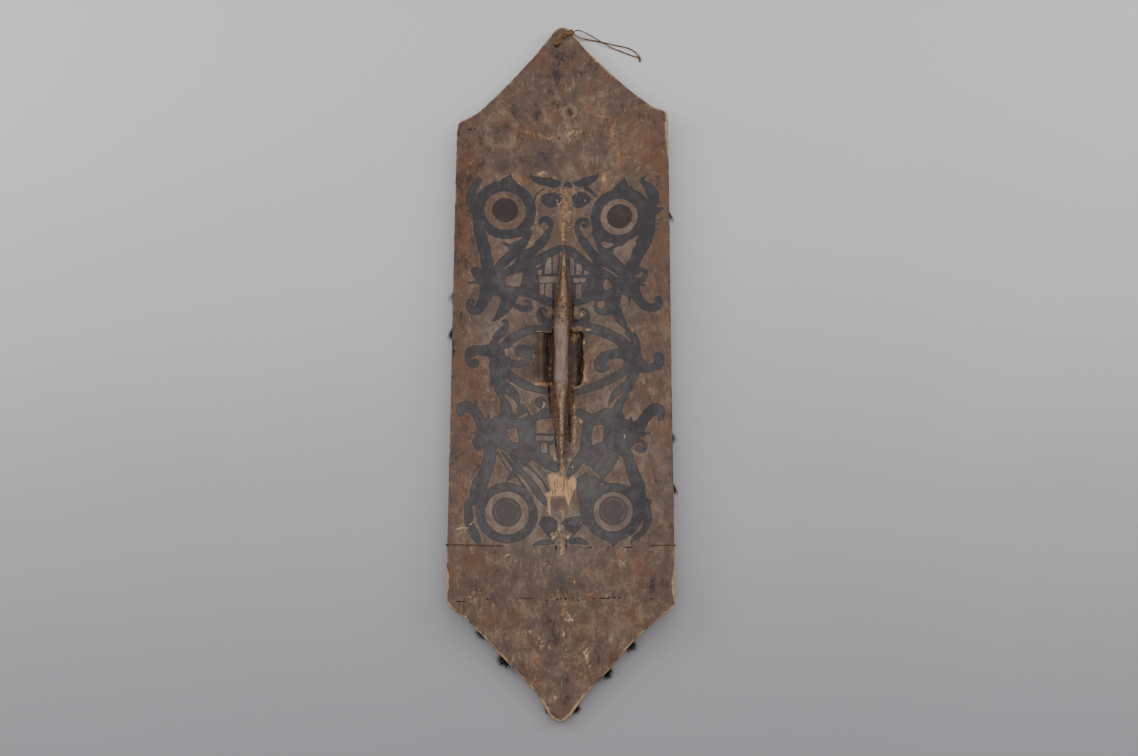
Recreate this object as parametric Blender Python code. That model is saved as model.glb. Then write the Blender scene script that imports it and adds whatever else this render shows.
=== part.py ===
# Long wooden plank shield, lying on the flat of its front ridge with the handle side up.
# Frame: +X across the board, +Y towards its top point, +Z up out of the handle side.
# The origin is on the floor under the middle of the board. Everything is in metres.

import math

import bmesh
import bpy
from mathutils import Vector

# Board
LENGTH = 1.250
HALF_WIDTH = 0.190
EDGE_FRONT_Z = 0.036       # height of the front face at the long edges
EDGE_BACK_Z = 0.046        # height of the back face at the long edges
TROUGH_Z = 0.020           # height of the back face down the middle
TROUGH_RADIUS = 0.020      # how softly the two back faces meet
RIDGE_HALF = 0.014         # half of the flat dressed along the front ridge
TIP_LIFT = 0.008           # how far the ridge is cut back at each point
TIP_LIFT_LENGTH = 0.090
EDGE_BEVEL = 0.0022
TIP_FLAT = 0.004           # half of the blunt end of each point
TIP_CURVE = 0.55           # how full the round of each point is (1 would be a straight taper)

# The four slanted sides: distance from the point of the board, and distance from the middle line
TOP_LEFT = ((0.012, 0.0190), (0.060, 0.0528), (0.104, 0.0872), (0.144, 0.1212), (0.180, 0.1548),
            (0.196, 0.1792), (0.200, 0.1864), (0.207, 0.1894))
TOP_RIGHT = ((0.012, 0.0195), (0.040, 0.0390), (0.076, 0.0705), (0.117, 0.1082), (0.149, 0.1420),
             (0.173, 0.1752), (0.1765, 0.1866), (0.186, 0.1908))
BOTTOM_LEFT = ((0.011, 0.0195), (0.042, 0.0385), (0.088, 0.0825), (0.132, 0.1250), (0.165, 0.1585),
               (0.180, 0.1810), (0.186, 0.1880), (0.193, 0.1902))
BOTTOM_RIGHT = ((0.011, 0.0190), (0.042, 0.0425), (0.088, 0.0860), (0.131, 0.1240), (0.153, 0.1490),
                (0.173, 0.1745), (0.181, 0.1870), (0.188, 0.1902))

# Handle, carved in one with the board. Each row: place along Y, left and right foot along X,
# middle and half width of the crest along X, height of the crest
HANDLE = ((0.206, 0.0010, 0.0090, 0.0045, 0.0025, 0.0180), (0.180, -0.0040, 0.0120, 0.0040, 0.0030, 0.0265),
          (0.150, -0.0070, 0.0150, 0.0035, 0.0040, 0.0340), (0.118, -0.0105, 0.0175, 0.0030, 0.0060, 0.0430),
          (0.088, -0.0140, 0.0210, 0.0020, 0.0090, 0.0530), (0.062, -0.0170, 0.0200, 0.0010, 0.0120, 0.0600),
          (0.030, -0.0180, 0.0180, 0.0000, 0.0135, 0.0620), (-0.044, -0.0180, 0.0180, 0.0000, 0.0130, 0.0620),
          (-0.074, -0.0200, 0.0210, 0.0000, 0.0100, 0.0590), (-0.105, -0.0170, 0.0210, 0.0000, 0.0060, 0.0500),
          (-0.145, -0.0110, 0.0180, 0.0005, 0.0040, 0.0390), (-0.180, -0.0060, 0.0130, 0.0010, 0.0032, 0.0290),
          (-0.211, -0.0030, 0.0060, 0.0015, 0.0025, 0.0180))
HANDLE_STATIONS = 30
GRIP_TOP_Z = 0.062
GRIP_BOTTOM_Z = 0.038
GRIP_HALF_WIDTH = 0.0145
GRIP_WAIST = 0.0030        # how much slimmer the grip is at its middle
GRIP_FROM_Y = -0.062
GRIP_TO_Y = 0.050
GRIP_SIDES = 14

# Finger hollow under the grip: its section across the board, and its plan scale and rise at stations along Y
HOLLOW = ((-0.040, 0.0290), (-0.030, 0.0200), (-0.020, 0.0138), (-0.008, 0.0106), (0.008, 0.0105),
          (0.022, 0.0120), (0.031, 0.0160), (0.036, 0.0225), (0.038, 0.0290))
HOLLOW_STATIONS = ((-0.057, 0.62, 0.0075), (-0.051, 0.86, 0.0030), (-0.040, 1.00, 0.0008), (-0.010, 1.00, 0.0),
                   (0.020, 1.00, 0.0), (0.038, 0.96, 0.0012))
HOLLOW_ROOF_Z = 0.090

# Cane strips across the front, by their place along Y
CANE_ROWS = (0.415, 0.331, -0.338, -0.427)
CANE_WIDTH = 0.0040
CANE_THICKNESS = 0.0016
CANE_RECESS = 0.0002       # the strip lies this far inside the front face
TOUCH = 0.0003             # gap kept between pieces that touch
WRAPPED_ROW = 2            # this strip goes round both edges and on over the back
WRAP_LEFT_X = -0.096
WRAP_RIGHT_X = 0.149

# Twine
HOLE = (-0.011, 0.588)
HOLE_RADIUS = 0.0040
HOLE_SIDES = 16
TWINE_DIAMETER = 0.0026
# The turns of twine through the hole and round the edge, as one flat ring. Each row: x, y, the face that it
# lies over, how far off that face, heading in degrees from +X, width, thickness
LASHING = ((-0.0110, 0.5880, "hole", 0.0000, 65, 0.0044, 0.0026), (-0.0110, 0.5882, "back", -0.0042, 65, 0.0046, 0.0026),
           (-0.0102, 0.5894, "back", 0.0006, 65, 0.0060, 0.0026), (-0.0080, 0.5936, "back", 0.0008, 65, 0.0080, 0.0028),
           (-0.0048, 0.6004, "back", 0.0008, 65, 0.0084, 0.0030), (-0.0014, 0.6062, "back", 0.0008, 58, 0.0082, 0.0030),
           (0.0032, 0.6100, "back", 0.0009, 38, 0.0078, 0.0030), (0.0092, 0.6122, "back", 0.0010, 26, 0.0076, 0.0032),
           (0.0146, 0.6146, "back", 0.0014, 34, 0.0076, 0.0034), (0.0187, 0.6172, "back", -0.0022, 39, 0.0074, 0.0030),
           (0.0189, 0.6174, "middle", 0.0004, 39, 0.0072, 0.0028), (0.0178, 0.6164, "front", -0.0001, 39, 0.0070, 0.0026),
           (0.0128, 0.6122, "front", -0.0008, 41, 0.0068, 0.0026), (0.0030, 0.6032, "front", -0.0008, 44, 0.0066, 0.0026),
           (-0.0066, 0.5936, "front", -0.0008, 47, 0.0062, 0.0026), (-0.0102, 0.5892, "front", -0.0005, 58, 0.0052, 0.0026),
           (-0.0110, 0.5881, "front", 0.0042, 65, 0.0046, 0.0026))
LASH_SIDES = 8
# The free loop is two strands from the lashing to the knot that joins their ends
STRANDS = (((0.0236, 0.6215, 0.0142), (0.0272, 0.6230, 0.0122), (0.0320, 0.6233, 0.0107), (0.0378, 0.6219, 0.0090),
            (0.0445, 0.6192, 0.0075), (0.0523, 0.6152, 0.0062), (0.0600, 0.6108, 0.0053), (0.0672, 0.6064, 0.0048),
            (0.0741, 0.6022, 0.0045), (0.0807, 0.5982, 0.0040), (0.0864, 0.5950, 0.0030), (0.0938, 0.5917, 0.0019),
            (0.1044, 0.5879, 0.0014), (0.1136, 0.5838, 0.0014), (0.1228, 0.5797, 0.0014), (0.1305, 0.5769, 0.0016),
            (0.1376, 0.5752, 0.0020)),
           ((0.0240, 0.6143, 0.0104), (0.0276, 0.6124, 0.0078), (0.0325, 0.6114, 0.0052), (0.0395, 0.6107, 0.0030),
            (0.0473, 0.6096, 0.0018), (0.0551, 0.6082, 0.0014), (0.0623, 0.6070, 0.0014), (0.0690, 0.6055, 0.0014),
            (0.0758, 0.6040, 0.0014), (0.0834, 0.6024, 0.0014), (0.0915, 0.6003, 0.0014), (0.1005, 0.5979, 0.0014),
            (0.1105, 0.5958, 0.0014), (0.1203, 0.5931, 0.0014), (0.1282, 0.5892, 0.0014), (0.1346, 0.5843, 0.0016),
            (0.1396, 0.5790, 0.0020)))
STRAND_POINTS = 24
KNOT_FROM = (0.1405, 0.5770, 0.0027)
KNOT_TO = (0.1432, 0.5668, 0.0024)
KNOT_WIDTH = 0.0052
KNOT_HEIGHT = 0.0046

# Hair tufts on the front, near the edges: where the root sits (x, y), heading in degrees from +X, length, width
TUFTS = ((-0.181, 0.124, -104.0, 0.030, 0.014), (-0.182, 0.054, -106.0, 0.030, 0.015),
         (0.182, 0.272, -70.0, 0.032, 0.008), (0.182, -0.134, -68.0, 0.028, 0.007),
         (0.181, -0.222, -66.0, 0.032, 0.014), (-0.120, -0.472, -132.0, 0.024, 0.016),
         (-0.082, -0.513, -128.0, 0.028, 0.020), (-0.012, -0.598, -125.0, 0.018, 0.011),
         (0.109, -0.487, -66.0, 0.027, 0.016), (0.070, -0.532, -64.0, 0.026, 0.016),
         (0.019, -0.596, -56.0, 0.018, 0.011))
TUFT_THICKNESS = 0.0042
TUFT_REACH = 0.1940        # no hair goes further out from the middle line than this
TUFT_SIDES = 8


def clear_scene():
    for item in list(bpy.data.objects):
        bpy.data.objects.remove(item, do_unlink=True)


def make_material(name, color, roughness):
    material = bpy.data.materials.new(name)
    material.use_nodes = True
    shader = material.node_tree.nodes["Principled BSDF"]
    shader.inputs["Base Color"].default_value = (*color, 1.0)
    shader.inputs["Roughness"].default_value = roughness
    shader.inputs["Metallic"].default_value = 0.0
    return material


# Interpolates a table of (position, value...) rows with slopes that never overshoot
def profile(rows, position, column=1):
    rows = sorted(rows)
    spots = [row[0] for row in rows]
    values = [row[column] for row in rows]
    if position <= spots[0]:
        return values[0]
    if position >= spots[-1]:
        return values[-1]
    slopes = [(values[i + 1] - values[i]) / (spots[i + 1] - spots[i]) for i in range(len(spots) - 1)]
    tangents = [slopes[0]]
    for before, after in zip(slopes, slopes[1:]):
        tangents.append(0.0 if before * after <= 0 else 2 * before * after / (before + after))
    tangents.append(slopes[-1])
    index = max(i for i in range(len(spots) - 1) if spots[i] <= position)
    span = spots[index + 1] - spots[index]
    t = (position - spots[index]) / span
    start = (1 + 2 * t) * (1 - t) ** 2 * values[index] + t * (1 - t) ** 2 * span * tangents[index]
    end = t * t * (3 - 2 * t) * values[index + 1] + t * t * (t - 1) * span * tangents[index + 1]
    return start + end


# Half width of the board on one side (-1 left, 1 right) at a place along Y
def half_width(y, side):
    if y > 0:
        corners = TOP_RIGHT if side > 0 else TOP_LEFT
    else:
        corners = BOTTOM_RIGHT if side > 0 else BOTTOM_LEFT
    from_tip = max(LENGTH / 2 - abs(y), 0.0)
    first_depth, first_width = corners[0]
    if from_tip < first_depth:
        return TIP_FLAT + (first_width - TIP_FLAT) * (from_tip / first_depth) ** TIP_CURVE
    return min(profile(corners + ((LENGTH / 2, HALF_WIDTH),), from_tip), HALF_WIDTH + 0.001)


def back_height(x):
    slope = (EDGE_BACK_Z - TROUGH_Z) / (math.hypot(HALF_WIDTH, TROUGH_RADIUS) - TROUGH_RADIUS)
    return TROUGH_Z + slope * (math.hypot(x, TROUGH_RADIUS) - TROUGH_RADIUS)


def front_slope():
    return EDGE_FRONT_Z / (HALF_WIDTH - RIDGE_HALF)


def front_height(x, y):
    from_tip = LENGTH / 2 - abs(y)
    lift = TIP_LIFT * max(0.0, 1 - from_tip / TIP_LIFT_LENGTH)
    return lift + front_slope() * max(0.0, abs(x) - RIDGE_HALF)


# Skins a list of equal loops of points and closes both ends
def loft(name, sections, closed_ring=False):
    mesh = bpy.data.meshes.new(name)
    shape = bmesh.new()
    rings = [[shape.verts.new(point) for point in section] for section in sections]
    pairs = list(zip(rings, rings[1:]))
    if closed_ring:
        pairs.append((rings[-1], rings[0]))
    for near, far in pairs:
        for i in range(len(near)):
            j = (i + 1) % len(near)
            shape.faces.new((near[i], near[j], far[j], far[i]))
    if not closed_ring:
        shape.faces.new(rings[0])
        shape.faces.new(rings[-1])
    bmesh.ops.recalc_face_normals(shape, faces=shape.faces)
    shape.to_mesh(mesh)
    shape.free()
    item = bpy.data.objects.new(name, mesh)
    bpy.context.collection.objects.link(item)
    return item


def mark_as_cutter(item):
    item.hide_render = True
    item.display_type = "WIRE"


def apply_boolean(target, other, operation):
    modifier = target.modifiers.new(operation.lower(), "BOOLEAN")
    modifier.operation = operation
    modifier.solver = "EXACT"
    modifier.object = other
    mark_as_cutter(other)
    bpy.context.view_layer.update()
    result = bpy.data.meshes.new_from_object(target.evaluated_get(bpy.context.evaluated_depsgraph_get()))
    target.modifiers.clear()
    target.data = result
    bpy.data.objects.remove(other, do_unlink=True)


def shade(item, material, angle=35.0):
    item.data.materials.clear()
    item.data.materials.append(material)
    item.data.shade_smooth()
    item.data.set_sharp_from_angle(angle=math.radians(angle))


# Places along Y where the board's outline turns, with more of them where it is straight and long
def board_stations():
    places = set()
    for sign, tables in ((1, (TOP_LEFT, TOP_RIGHT)), (-1, (BOTTOM_LEFT, BOTTOM_RIGHT))):
        for table in tables:
            for depth, _width in table:
                places.add(round(sign * (LENGTH / 2 - depth), 4))
        for depth in (0.0, 0.001, 0.003, 0.006, 0.024, 0.034, 0.050, 0.068, 0.090, 0.125):
            places.add(round(sign * (LENGTH / 2 - depth), 4))
    for step in range(-4, 5):
        places.add(round(step * 0.090, 4))
    kept = []
    for place in sorted(places):
        if not kept or place - kept[-1] > 0.0009:
            kept.append(place)
    return kept


def board_section(y):
    columns = (0.14, 0.32, 0.54, 0.78, 1.0)
    back = {}
    front = {}
    rim = {}
    for side in (-1, 1):
        width = half_width(y, side)
        bevel = min(EDGE_BEVEL, 0.3 * width)
        ridge = min(RIDGE_HALF, 0.5 * width)
        inner = width - bevel
        spots = [ridge + (inner - ridge) * share for share in columns]
        back[side] = [(side * x, y, back_height(x)) for x in [ridge * 0.5, ridge] + spots]
        front[side] = [(side * x, y, front_height(x, y)) for x in [ridge] + spots]
        rim[side] = ((side * width, y, back_height(width) - bevel), (side * width, y, front_height(width, y) + bevel))
    loop = list(reversed(back[-1])) + [(0.0, y, back_height(0.0))] + back[1]
    loop += list(rim[1]) + list(reversed(front[1])) + front[-1] + list(reversed(rim[-1]))
    return loop


# Sections of the long carved spindle, before the finger hollow is cut
def handle_sections():
    sections = []
    first = HANDLE[0][0]
    last = HANDLE[-1][0]
    floor = TROUGH_Z - 0.006
    for step in range(HANDLE_STATIONS + 1):
        y = first + (last - first) * step / HANDLE_STATIONS
        left, right, middle, crest, top = (profile(HANDLE, y, column) for column in range(1, 6))
        rise = top - floor
        loop = []
        for side, foot in ((1, right - middle), (-1, middle - left)):
            outline = [(foot, 0.0), (foot, 0.30), (crest + 0.30 * (foot - crest), 0.55), (crest, 0.80),
                       (0.72 * crest, 0.94), (0.30 * crest, 1.0)]
            if side < 0:
                outline.reverse()
            loop += [(middle + side * x, y, floor + rise * share) for x, share in outline]
        sections.append(loop)
    return sections


def grip_sections():
    sections = []
    stations = 9
    height = (GRIP_TOP_Z - GRIP_BOTTOM_Z) / 2
    for step in range(stations + 1):
        share = step / stations
        y = GRIP_FROM_Y + (GRIP_TO_Y - GRIP_FROM_Y) * share
        waist = GRIP_WAIST * math.sin(math.pi * share) ** 2
        ring = []
        for corner in range(GRIP_SIDES):
            angle = 2 * math.pi * corner / GRIP_SIDES
            x = profile(HANDLE, y, 3) + (GRIP_HALF_WIDTH - waist) * math.cos(angle)
            z = GRIP_BOTTOM_Z + height - waist * 0.5 + (height - waist * 0.5) * math.sin(angle)
            ring.append((x, y, z))
        sections.append(ring)
    return sections


def hollow_sections():
    sections = []
    for y, scale, lift in HOLLOW_STATIONS:
        floor = [(x * scale, y, z + lift) for x, z in HOLLOW]
        walls = [(HOLLOW[-1][0] * scale, y, HOLLOW_ROOF_Z), (HOLLOW[0][0] * scale, y, HOLLOW_ROOF_Z)]
        sections.append(floor + walls)
    return sections


# A shallow groove across the front that a cane strip is let into
def groove_sections(y):
    depth = CANE_RECESS + CANE_THICKNESS + TOUCH
    half = CANE_WIDTH / 2 + TOUCH
    reach = HALF_WIDTH + 0.020
    sections = []
    for x in (-reach, -RIDGE_HALF, RIDGE_HALF, reach):
        face = front_height(x, y)
        sections.append([(x, y - half, face - 0.006), (x, y + half, face - 0.006),
                         (x, y + half, face + depth), (x, y - half, face + depth)])
    return sections


def hole_sections():
    rings = []
    for z in (-0.010, 0.060):
        ring = []
        for corner in range(HOLE_SIDES):
            angle = 2 * math.pi * corner / HOLE_SIDES
            ring.append((HOLE[0] + HOLE_RADIUS * math.cos(angle), HOLE[1] + HOLE_RADIUS * math.sin(angle), z))
        rings.append(ring)
    return rings


def build_board(material):
    board = loft("shield_board", [board_section(y) for y in board_stations()])
    apply_boolean(board, loft("handle_form", handle_sections()), "UNION")
    apply_boolean(board, loft("hollow_form", hollow_sections()), "DIFFERENCE")
    apply_boolean(board, loft("grip_form", grip_sections()), "UNION")
    for row, y in enumerate(CANE_ROWS):
        apply_boolean(board, loft(f"groove_form_{row + 1}", groove_sections(y)), "DIFFERENCE")
    apply_boolean(board, loft("hole_form", hole_sections()), "DIFFERENCE")
    shade(board, material)


# Middle line of a cane strip in the plane across the board, from left to right
def cane_line(row):
    y = CANE_ROWS[row]
    level = CANE_RECESS + CANE_THICKNESS / 2
    left = half_width(y, -1)
    right = half_width(y, 1)
    line = [(-RIDGE_HALF, level), (RIDGE_HALF, level)]
    if row == WRAPPED_ROW:
        out = TOUCH + CANE_THICKNESS / 2
        for side, width, end in ((-1, left, WRAP_LEFT_X), (1, right, WRAP_RIGHT_X)):
            outer = width + out
            turn = [(side * (width - 0.002), front_height(width - 0.002, y) + level),
                    (side * outer, front_height(width, y) + 0.0015),
                    (side * outer, back_height(width) - 0.0008),
                    (side * (width - 0.0024), back_height(width - 0.0024) + out)]
            along = [(side * x, back_height(x) + out) for x in (0.5 * (width + abs(end)), abs(end))]
            branch = turn + along
            line = list(reversed(branch)) + line if side < 0 else line + branch
        return line
    for side, width in ((-1, left), (1, right)):
        reach = width - 0.0008
        spot = (side * reach, front_height(reach, y) + level)
        line = [spot] + line if side < 0 else line + [spot]
    return line


# A flat band of even thickness along a line in the plane across the board
def build_cane(row, material):
    y = CANE_ROWS[row]
    line = [Vector(point) for point in cane_line(row)]
    sections = []
    for index, point in enumerate(line):
        ahead = (line[min(index + 1, len(line) - 1)] - point).normalized() if index < len(line) - 1 else None
        behind = (point - line[index - 1]).normalized() if index else None
        ahead = ahead or behind
        behind = behind or ahead
        along = (ahead + behind).normalized()
        normal = Vector((-along.y, along.x))
        stretch = CANE_THICKNESS / 2 / max(normal.dot(Vector((-ahead.y, ahead.x))), 0.5)
        upper = point + normal * stretch
        lower = point - normal * stretch
        half = CANE_WIDTH / 2
        sections.append([(upper.x, y - half, upper.y), (upper.x, y + half, upper.y),
                         (lower.x, y + half, lower.y), (lower.x, y - half, lower.y)])
    strip = loft(f"cane_strip_{row + 1}", sections)
    shade(strip, material, 25.0)


# Middle of the lashing at one of its rows
def lashing_centre(row):
    x, y, face, offset = row[:4]
    inward = 0.004
    back = back_height(abs(x) + inward) + TOUCH + TWINE_DIAMETER / 2
    front = front_height(max(abs(x) - inward, 0.0), y - inward) - TOUCH - TWINE_DIAMETER / 2
    height = {"back": back, "front": front}.get(face, 0.5 * (back + front)) + offset
    return Vector((x, y, height))


def build_lashing(material):
    centres = [lashing_centre(row) for row in LASHING]
    sections = []
    for index, row in enumerate(LASHING):
        heading, width, thickness = row[4:]
        across = Vector((-math.sin(math.radians(heading)), math.cos(math.radians(heading)), 0.0))
        along = (centres[(index + 1) % len(LASHING)] - centres[index - 1]).normalized()
        normal = along.cross(across).normalized()
        ring = []
        for corner in range(LASH_SIDES):
            angle = 2 * math.pi * (corner + 0.5) / LASH_SIDES
            ring.append(centres[index] + across * (width / 2 * math.cos(angle))
                        + normal * (thickness / 2 * math.sin(angle)))
        sections.append(ring)
    lashing = loft("twine_lashing", sections, closed_ring=True)
    shade(lashing, material, 60.0)


# Even points along a smooth curve through the given ones
def smooth_route(points, count):
    points = [Vector(point) for point in points]
    padded = [2 * points[0] - points[1]] + points + [2 * points[-1] - points[-2]]
    fine = []
    for i in range(1, len(padded) - 2):
        a, b, c, d = padded[i - 1:i + 3]
        for step in range(24):
            t = step / 24
            fine.append(0.5 * (2 * b + (c - a) * t + (2 * a - 5 * b + 4 * c - d) * t * t
                               + (3 * b - a - 3 * c + d) * t ** 3))
    fine.append(points[-1])
    travelled = [0.0]
    for before, after in zip(fine, fine[1:]):
        travelled.append(travelled[-1] + (after - before).length)
    even = []
    index = 0
    for step in range(count):
        target = travelled[-1] * step / (count - 1)
        while index < len(fine) - 2 and travelled[index + 1] < target:
            index += 1
        share = (target - travelled[index]) / (travelled[index + 1] - travelled[index])
        even.append(fine[index].lerp(fine[index + 1], min(max(share, 0.0), 1.0)))
    return even


def build_strand(index, points, material):
    curve = bpy.data.curves.new(f"twine_strand_{index + 1}", "CURVE")
    curve.dimensions = "3D"
    curve.bevel_depth = TWINE_DIAMETER / 2
    curve.bevel_resolution = 2
    curve.use_fill_caps = True
    route = smooth_route(points, STRAND_POINTS)
    spline = curve.splines.new("POLY")
    spline.points.add(len(route) - 1)
    for point, place in zip(spline.points, route):
        point.co = (*place, 1.0)
    strand = bpy.data.objects.new(f"twine_strand_{index + 1}", curve)
    bpy.context.collection.objects.link(strand)
    curve.materials.append(material)


# The knot that ties the ends of the two strands together
def build_knot(material):
    start = Vector(KNOT_FROM)
    end = Vector(KNOT_TO)
    along = (end - start).normalized()
    across = along.cross(Vector((0.0, 0.0, 1.0))).normalized()
    sections = []
    for share, spread in ((0.0, 0.55), (0.14, 0.86), (0.38, 1.0), (0.62, 0.92), (0.86, 0.60), (1.0, 0.38)):
        centre = start.lerp(end, share)
        ring = []
        for corner in range(LASH_SIDES):
            angle = 2 * math.pi * (corner + 0.5) / LASH_SIDES
            ring.append(centre + across * (KNOT_WIDTH / 2 * spread * math.cos(angle))
                        + Vector((0.0, 0.0, KNOT_HEIGHT / 2 * spread * math.sin(angle))))
        sections.append(ring)
    knot = loft("twine_knot", sections)
    shade(knot, material, 60.0)


# One flattened bundle of hair lying under the front face, its ends past the edge of the board
def build_tuft(index, root_x, root_y, heading_deg, length, width, material):
    heading = Vector((math.cos(math.radians(heading_deg)), math.sin(math.radians(heading_deg)), 0.0))
    across = Vector((-heading.y, heading.x, 0.0))
    # share of the length, share of the width, share of the thickness
    shape = ((0.0, 0.34, 0.62), (0.22, 0.62, 1.0), (0.55, 1.0, 0.95), (0.85, 0.86, 0.66), (1.0, 0.52, 0.36))
    sections = []
    for share, spread, depth in shape:
        centre = Vector((root_x, root_y, 0.0)) + heading * (length * share)
        half = TUFT_THICKNESS / 2 * depth
        ring = []
        for corner in range(TUFT_SIDES):
            angle = 2 * math.pi * (corner + 0.5) / TUFT_SIDES
            spot = centre + across * (width / 2 * spread * math.cos(angle))
            spot.x = max(-TUFT_REACH, min(TUFT_REACH, spot.x))
            face = front_height(spot.x, spot.y)
            spot.z = face - TOUCH - 0.0003 - half + half * math.sin(angle)
            ring.append(spot)
        sections.append(ring)
    tuft = loft(f"hair_tuft_{index + 1}", sections)
    shade(tuft, material, 50.0)


def build_all():
    clear_scene()
    wood = make_material("old painted wood", (0.150, 0.095, 0.065), 0.68)
    cane = make_material("dark cane", (0.075, 0.045, 0.028), 0.55)
    twine = make_material("bark twine", (0.260, 0.150, 0.075), 0.80)
    hair = make_material("black hair", (0.012, 0.010, 0.010), 0.50)
    build_board(wood)
    for row in range(len(CANE_ROWS)):
        build_cane(row, cane)
    build_lashing(twine)
    for index, points in enumerate(STRANDS):
        build_strand(index, points, twine)
    build_knot(twine)
    for index, tuft in enumerate(TUFTS):
        build_tuft(index, *tuft, hair)


build_all()
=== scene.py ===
import math

import bmesh
import bpy
import numpy as np
from mathutils import Matrix, Vector


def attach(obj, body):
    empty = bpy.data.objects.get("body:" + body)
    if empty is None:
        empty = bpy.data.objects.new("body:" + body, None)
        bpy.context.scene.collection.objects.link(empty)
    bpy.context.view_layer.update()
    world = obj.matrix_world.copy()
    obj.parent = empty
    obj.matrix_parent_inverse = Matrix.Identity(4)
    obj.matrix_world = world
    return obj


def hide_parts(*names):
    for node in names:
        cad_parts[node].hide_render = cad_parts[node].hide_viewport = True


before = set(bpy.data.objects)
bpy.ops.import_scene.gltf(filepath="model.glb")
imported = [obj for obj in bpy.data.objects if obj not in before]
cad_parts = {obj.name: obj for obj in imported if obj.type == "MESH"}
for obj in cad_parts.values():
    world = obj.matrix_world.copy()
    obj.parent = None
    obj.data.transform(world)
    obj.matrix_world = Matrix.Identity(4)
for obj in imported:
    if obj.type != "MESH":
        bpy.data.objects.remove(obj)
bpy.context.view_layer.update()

print("frame loaded:", len(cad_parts), "nodes")


# Camera: looks down on the lying shield from its lower end, as tilted as the photograph is
view = {
    "place": (0.01308, -0.75701, 2.68391),
    "tiltDeg": 15.0,
    "rollDeg": 0.1175,
    "lensMm": 50.35,
    "sensorMm": 36.0,
    "clipStart": 0.05,
}


def placeCamera():
    data = bpy.data.cameras.new("camera")
    data.lens = view["lensMm"]
    data.sensor_width = view["sensorMm"]
    data.sensor_fit = "HORIZONTAL"
    data.clip_start = view["clipStart"]
    camera = bpy.data.objects.new("camera", data)
    bpy.context.scene.collection.objects.link(camera)
    tilt = Matrix.Rotation(math.radians(view["tiltDeg"]), 4, "X")
    roll = Matrix.Rotation(math.radians(view["rollDeg"]), 4, "Z")
    camera.matrix_world = Matrix.Translation(view["place"]) @ tilt @ roll
    bpy.context.scene.camera = camera


placeCamera()
print("camera placed")


# Meshes
straightUp = Vector((0.0, 0.0, 1.0))


def makePiece(name, points, faces, material=None, smooth=True, sharpDeg=None):
    mesh = bpy.data.meshes.new(name)
    mesh.from_pydata([tuple(point) for point in points], [], [tuple(face) for face in faces])
    mesh.update()
    if smooth:
        mesh.shade_smooth()
    if sharpDeg:
        mesh.set_sharp_from_angle(angle=math.radians(sharpDeg))
    piece = bpy.data.objects.new(name, mesh)
    bpy.context.scene.collection.objects.link(piece)
    if material:
        mesh.materials.append(material)
    return piece


# Skins equal rings of points into closed bodies and keeps them in one growing list
class Skin:
    def __init__(self):
        self.points = []
        self.faces = []

    def addRings(self, rings, closed=False, capped=True):
        start = len(self.points)
        sides = len(rings[0])
        for ring in rings:
            self.points.extend(ring)
        count = len(rings)
        for i in range(count if closed else count - 1):
            near = start + i * sides
            far = start + ((i + 1) % count) * sides
            for j in range(sides):
                k = (j + 1) % sides
                self.faces.append((near + j, near + k, far + k, far + j))
        if capped and not closed:
            self.faces.append(tuple(reversed(range(start, start + sides))))
            self.faces.append(tuple(range(start + (count - 1) * sides, start + count * sides)))


# Points round a centre, in the plane of two directions
def circle(centre, radius, side, up, count):
    turns = [2 * math.pi * corner / count for corner in range(count)]
    return [centre + radius * (math.cos(turn) * side + math.sin(turn) * up) for turn in turns]


# Points of a smooth curve through the given ones, a number of steps to each span
def curveThrough(points, steps):
    padded = [2 * points[0] - points[1], *points, 2 * points[-1] - points[-2]]
    fine = []
    for a, b, c, d in zip(padded, padded[1:], padded[2:], padded[3:]):
        for step in range(steps):
            t = step / steps
            fine.append(0.5 * (2 * b + (c - a) * t + (2 * a - 5 * b + 4 * c - d) * t * t
                               + (3 * b - a - 3 * c + d) * t ** 3))
    return fine + [points[-1]]


# Even points along a smooth curve through the given ones
def smoothRoute(points, spacing):
    fine = curveThrough([Vector(point) for point in points], 24)
    travelled = [0.0]
    for before, after in zip(fine, fine[1:]):
        travelled.append(travelled[-1] + (after - before).length)
    count = max(int(travelled[-1] / spacing), 4)
    even = []
    index = 0
    for step in range(count + 1):
        target = travelled[-1] * step / count
        while index < len(fine) - 2 and travelled[index + 1] < target:
            index += 1
        share = (target - travelled[index]) / (travelled[index + 1] - travelled[index])
        even.append(fine[index].lerp(fine[index + 1], min(max(share, 0.0), 1.0)))
    return even


def routeLength(route):
    return sum((after - before).length for before, after in zip(route, route[1:]))


# A steady pair of side directions for each point of a route
def routeFrames(route, closed=False):
    frames = []
    up = straightUp
    for i, point in enumerate(route):
        ahead = route[(i + 1) % len(route)] if closed or i < len(route) - 1 else point
        behind = route[i - 1] if closed or i else point
        along = (ahead - behind).normalized()
        side = along.cross(up)
        if side.length > 0.05:
            side.normalize()
        else:
            side = frames[-1][0] if frames else Vector((1.0, 0.0, 0.0))
        up = side.cross(along).normalized()
        frames.append((side, up))
    return frames


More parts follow.
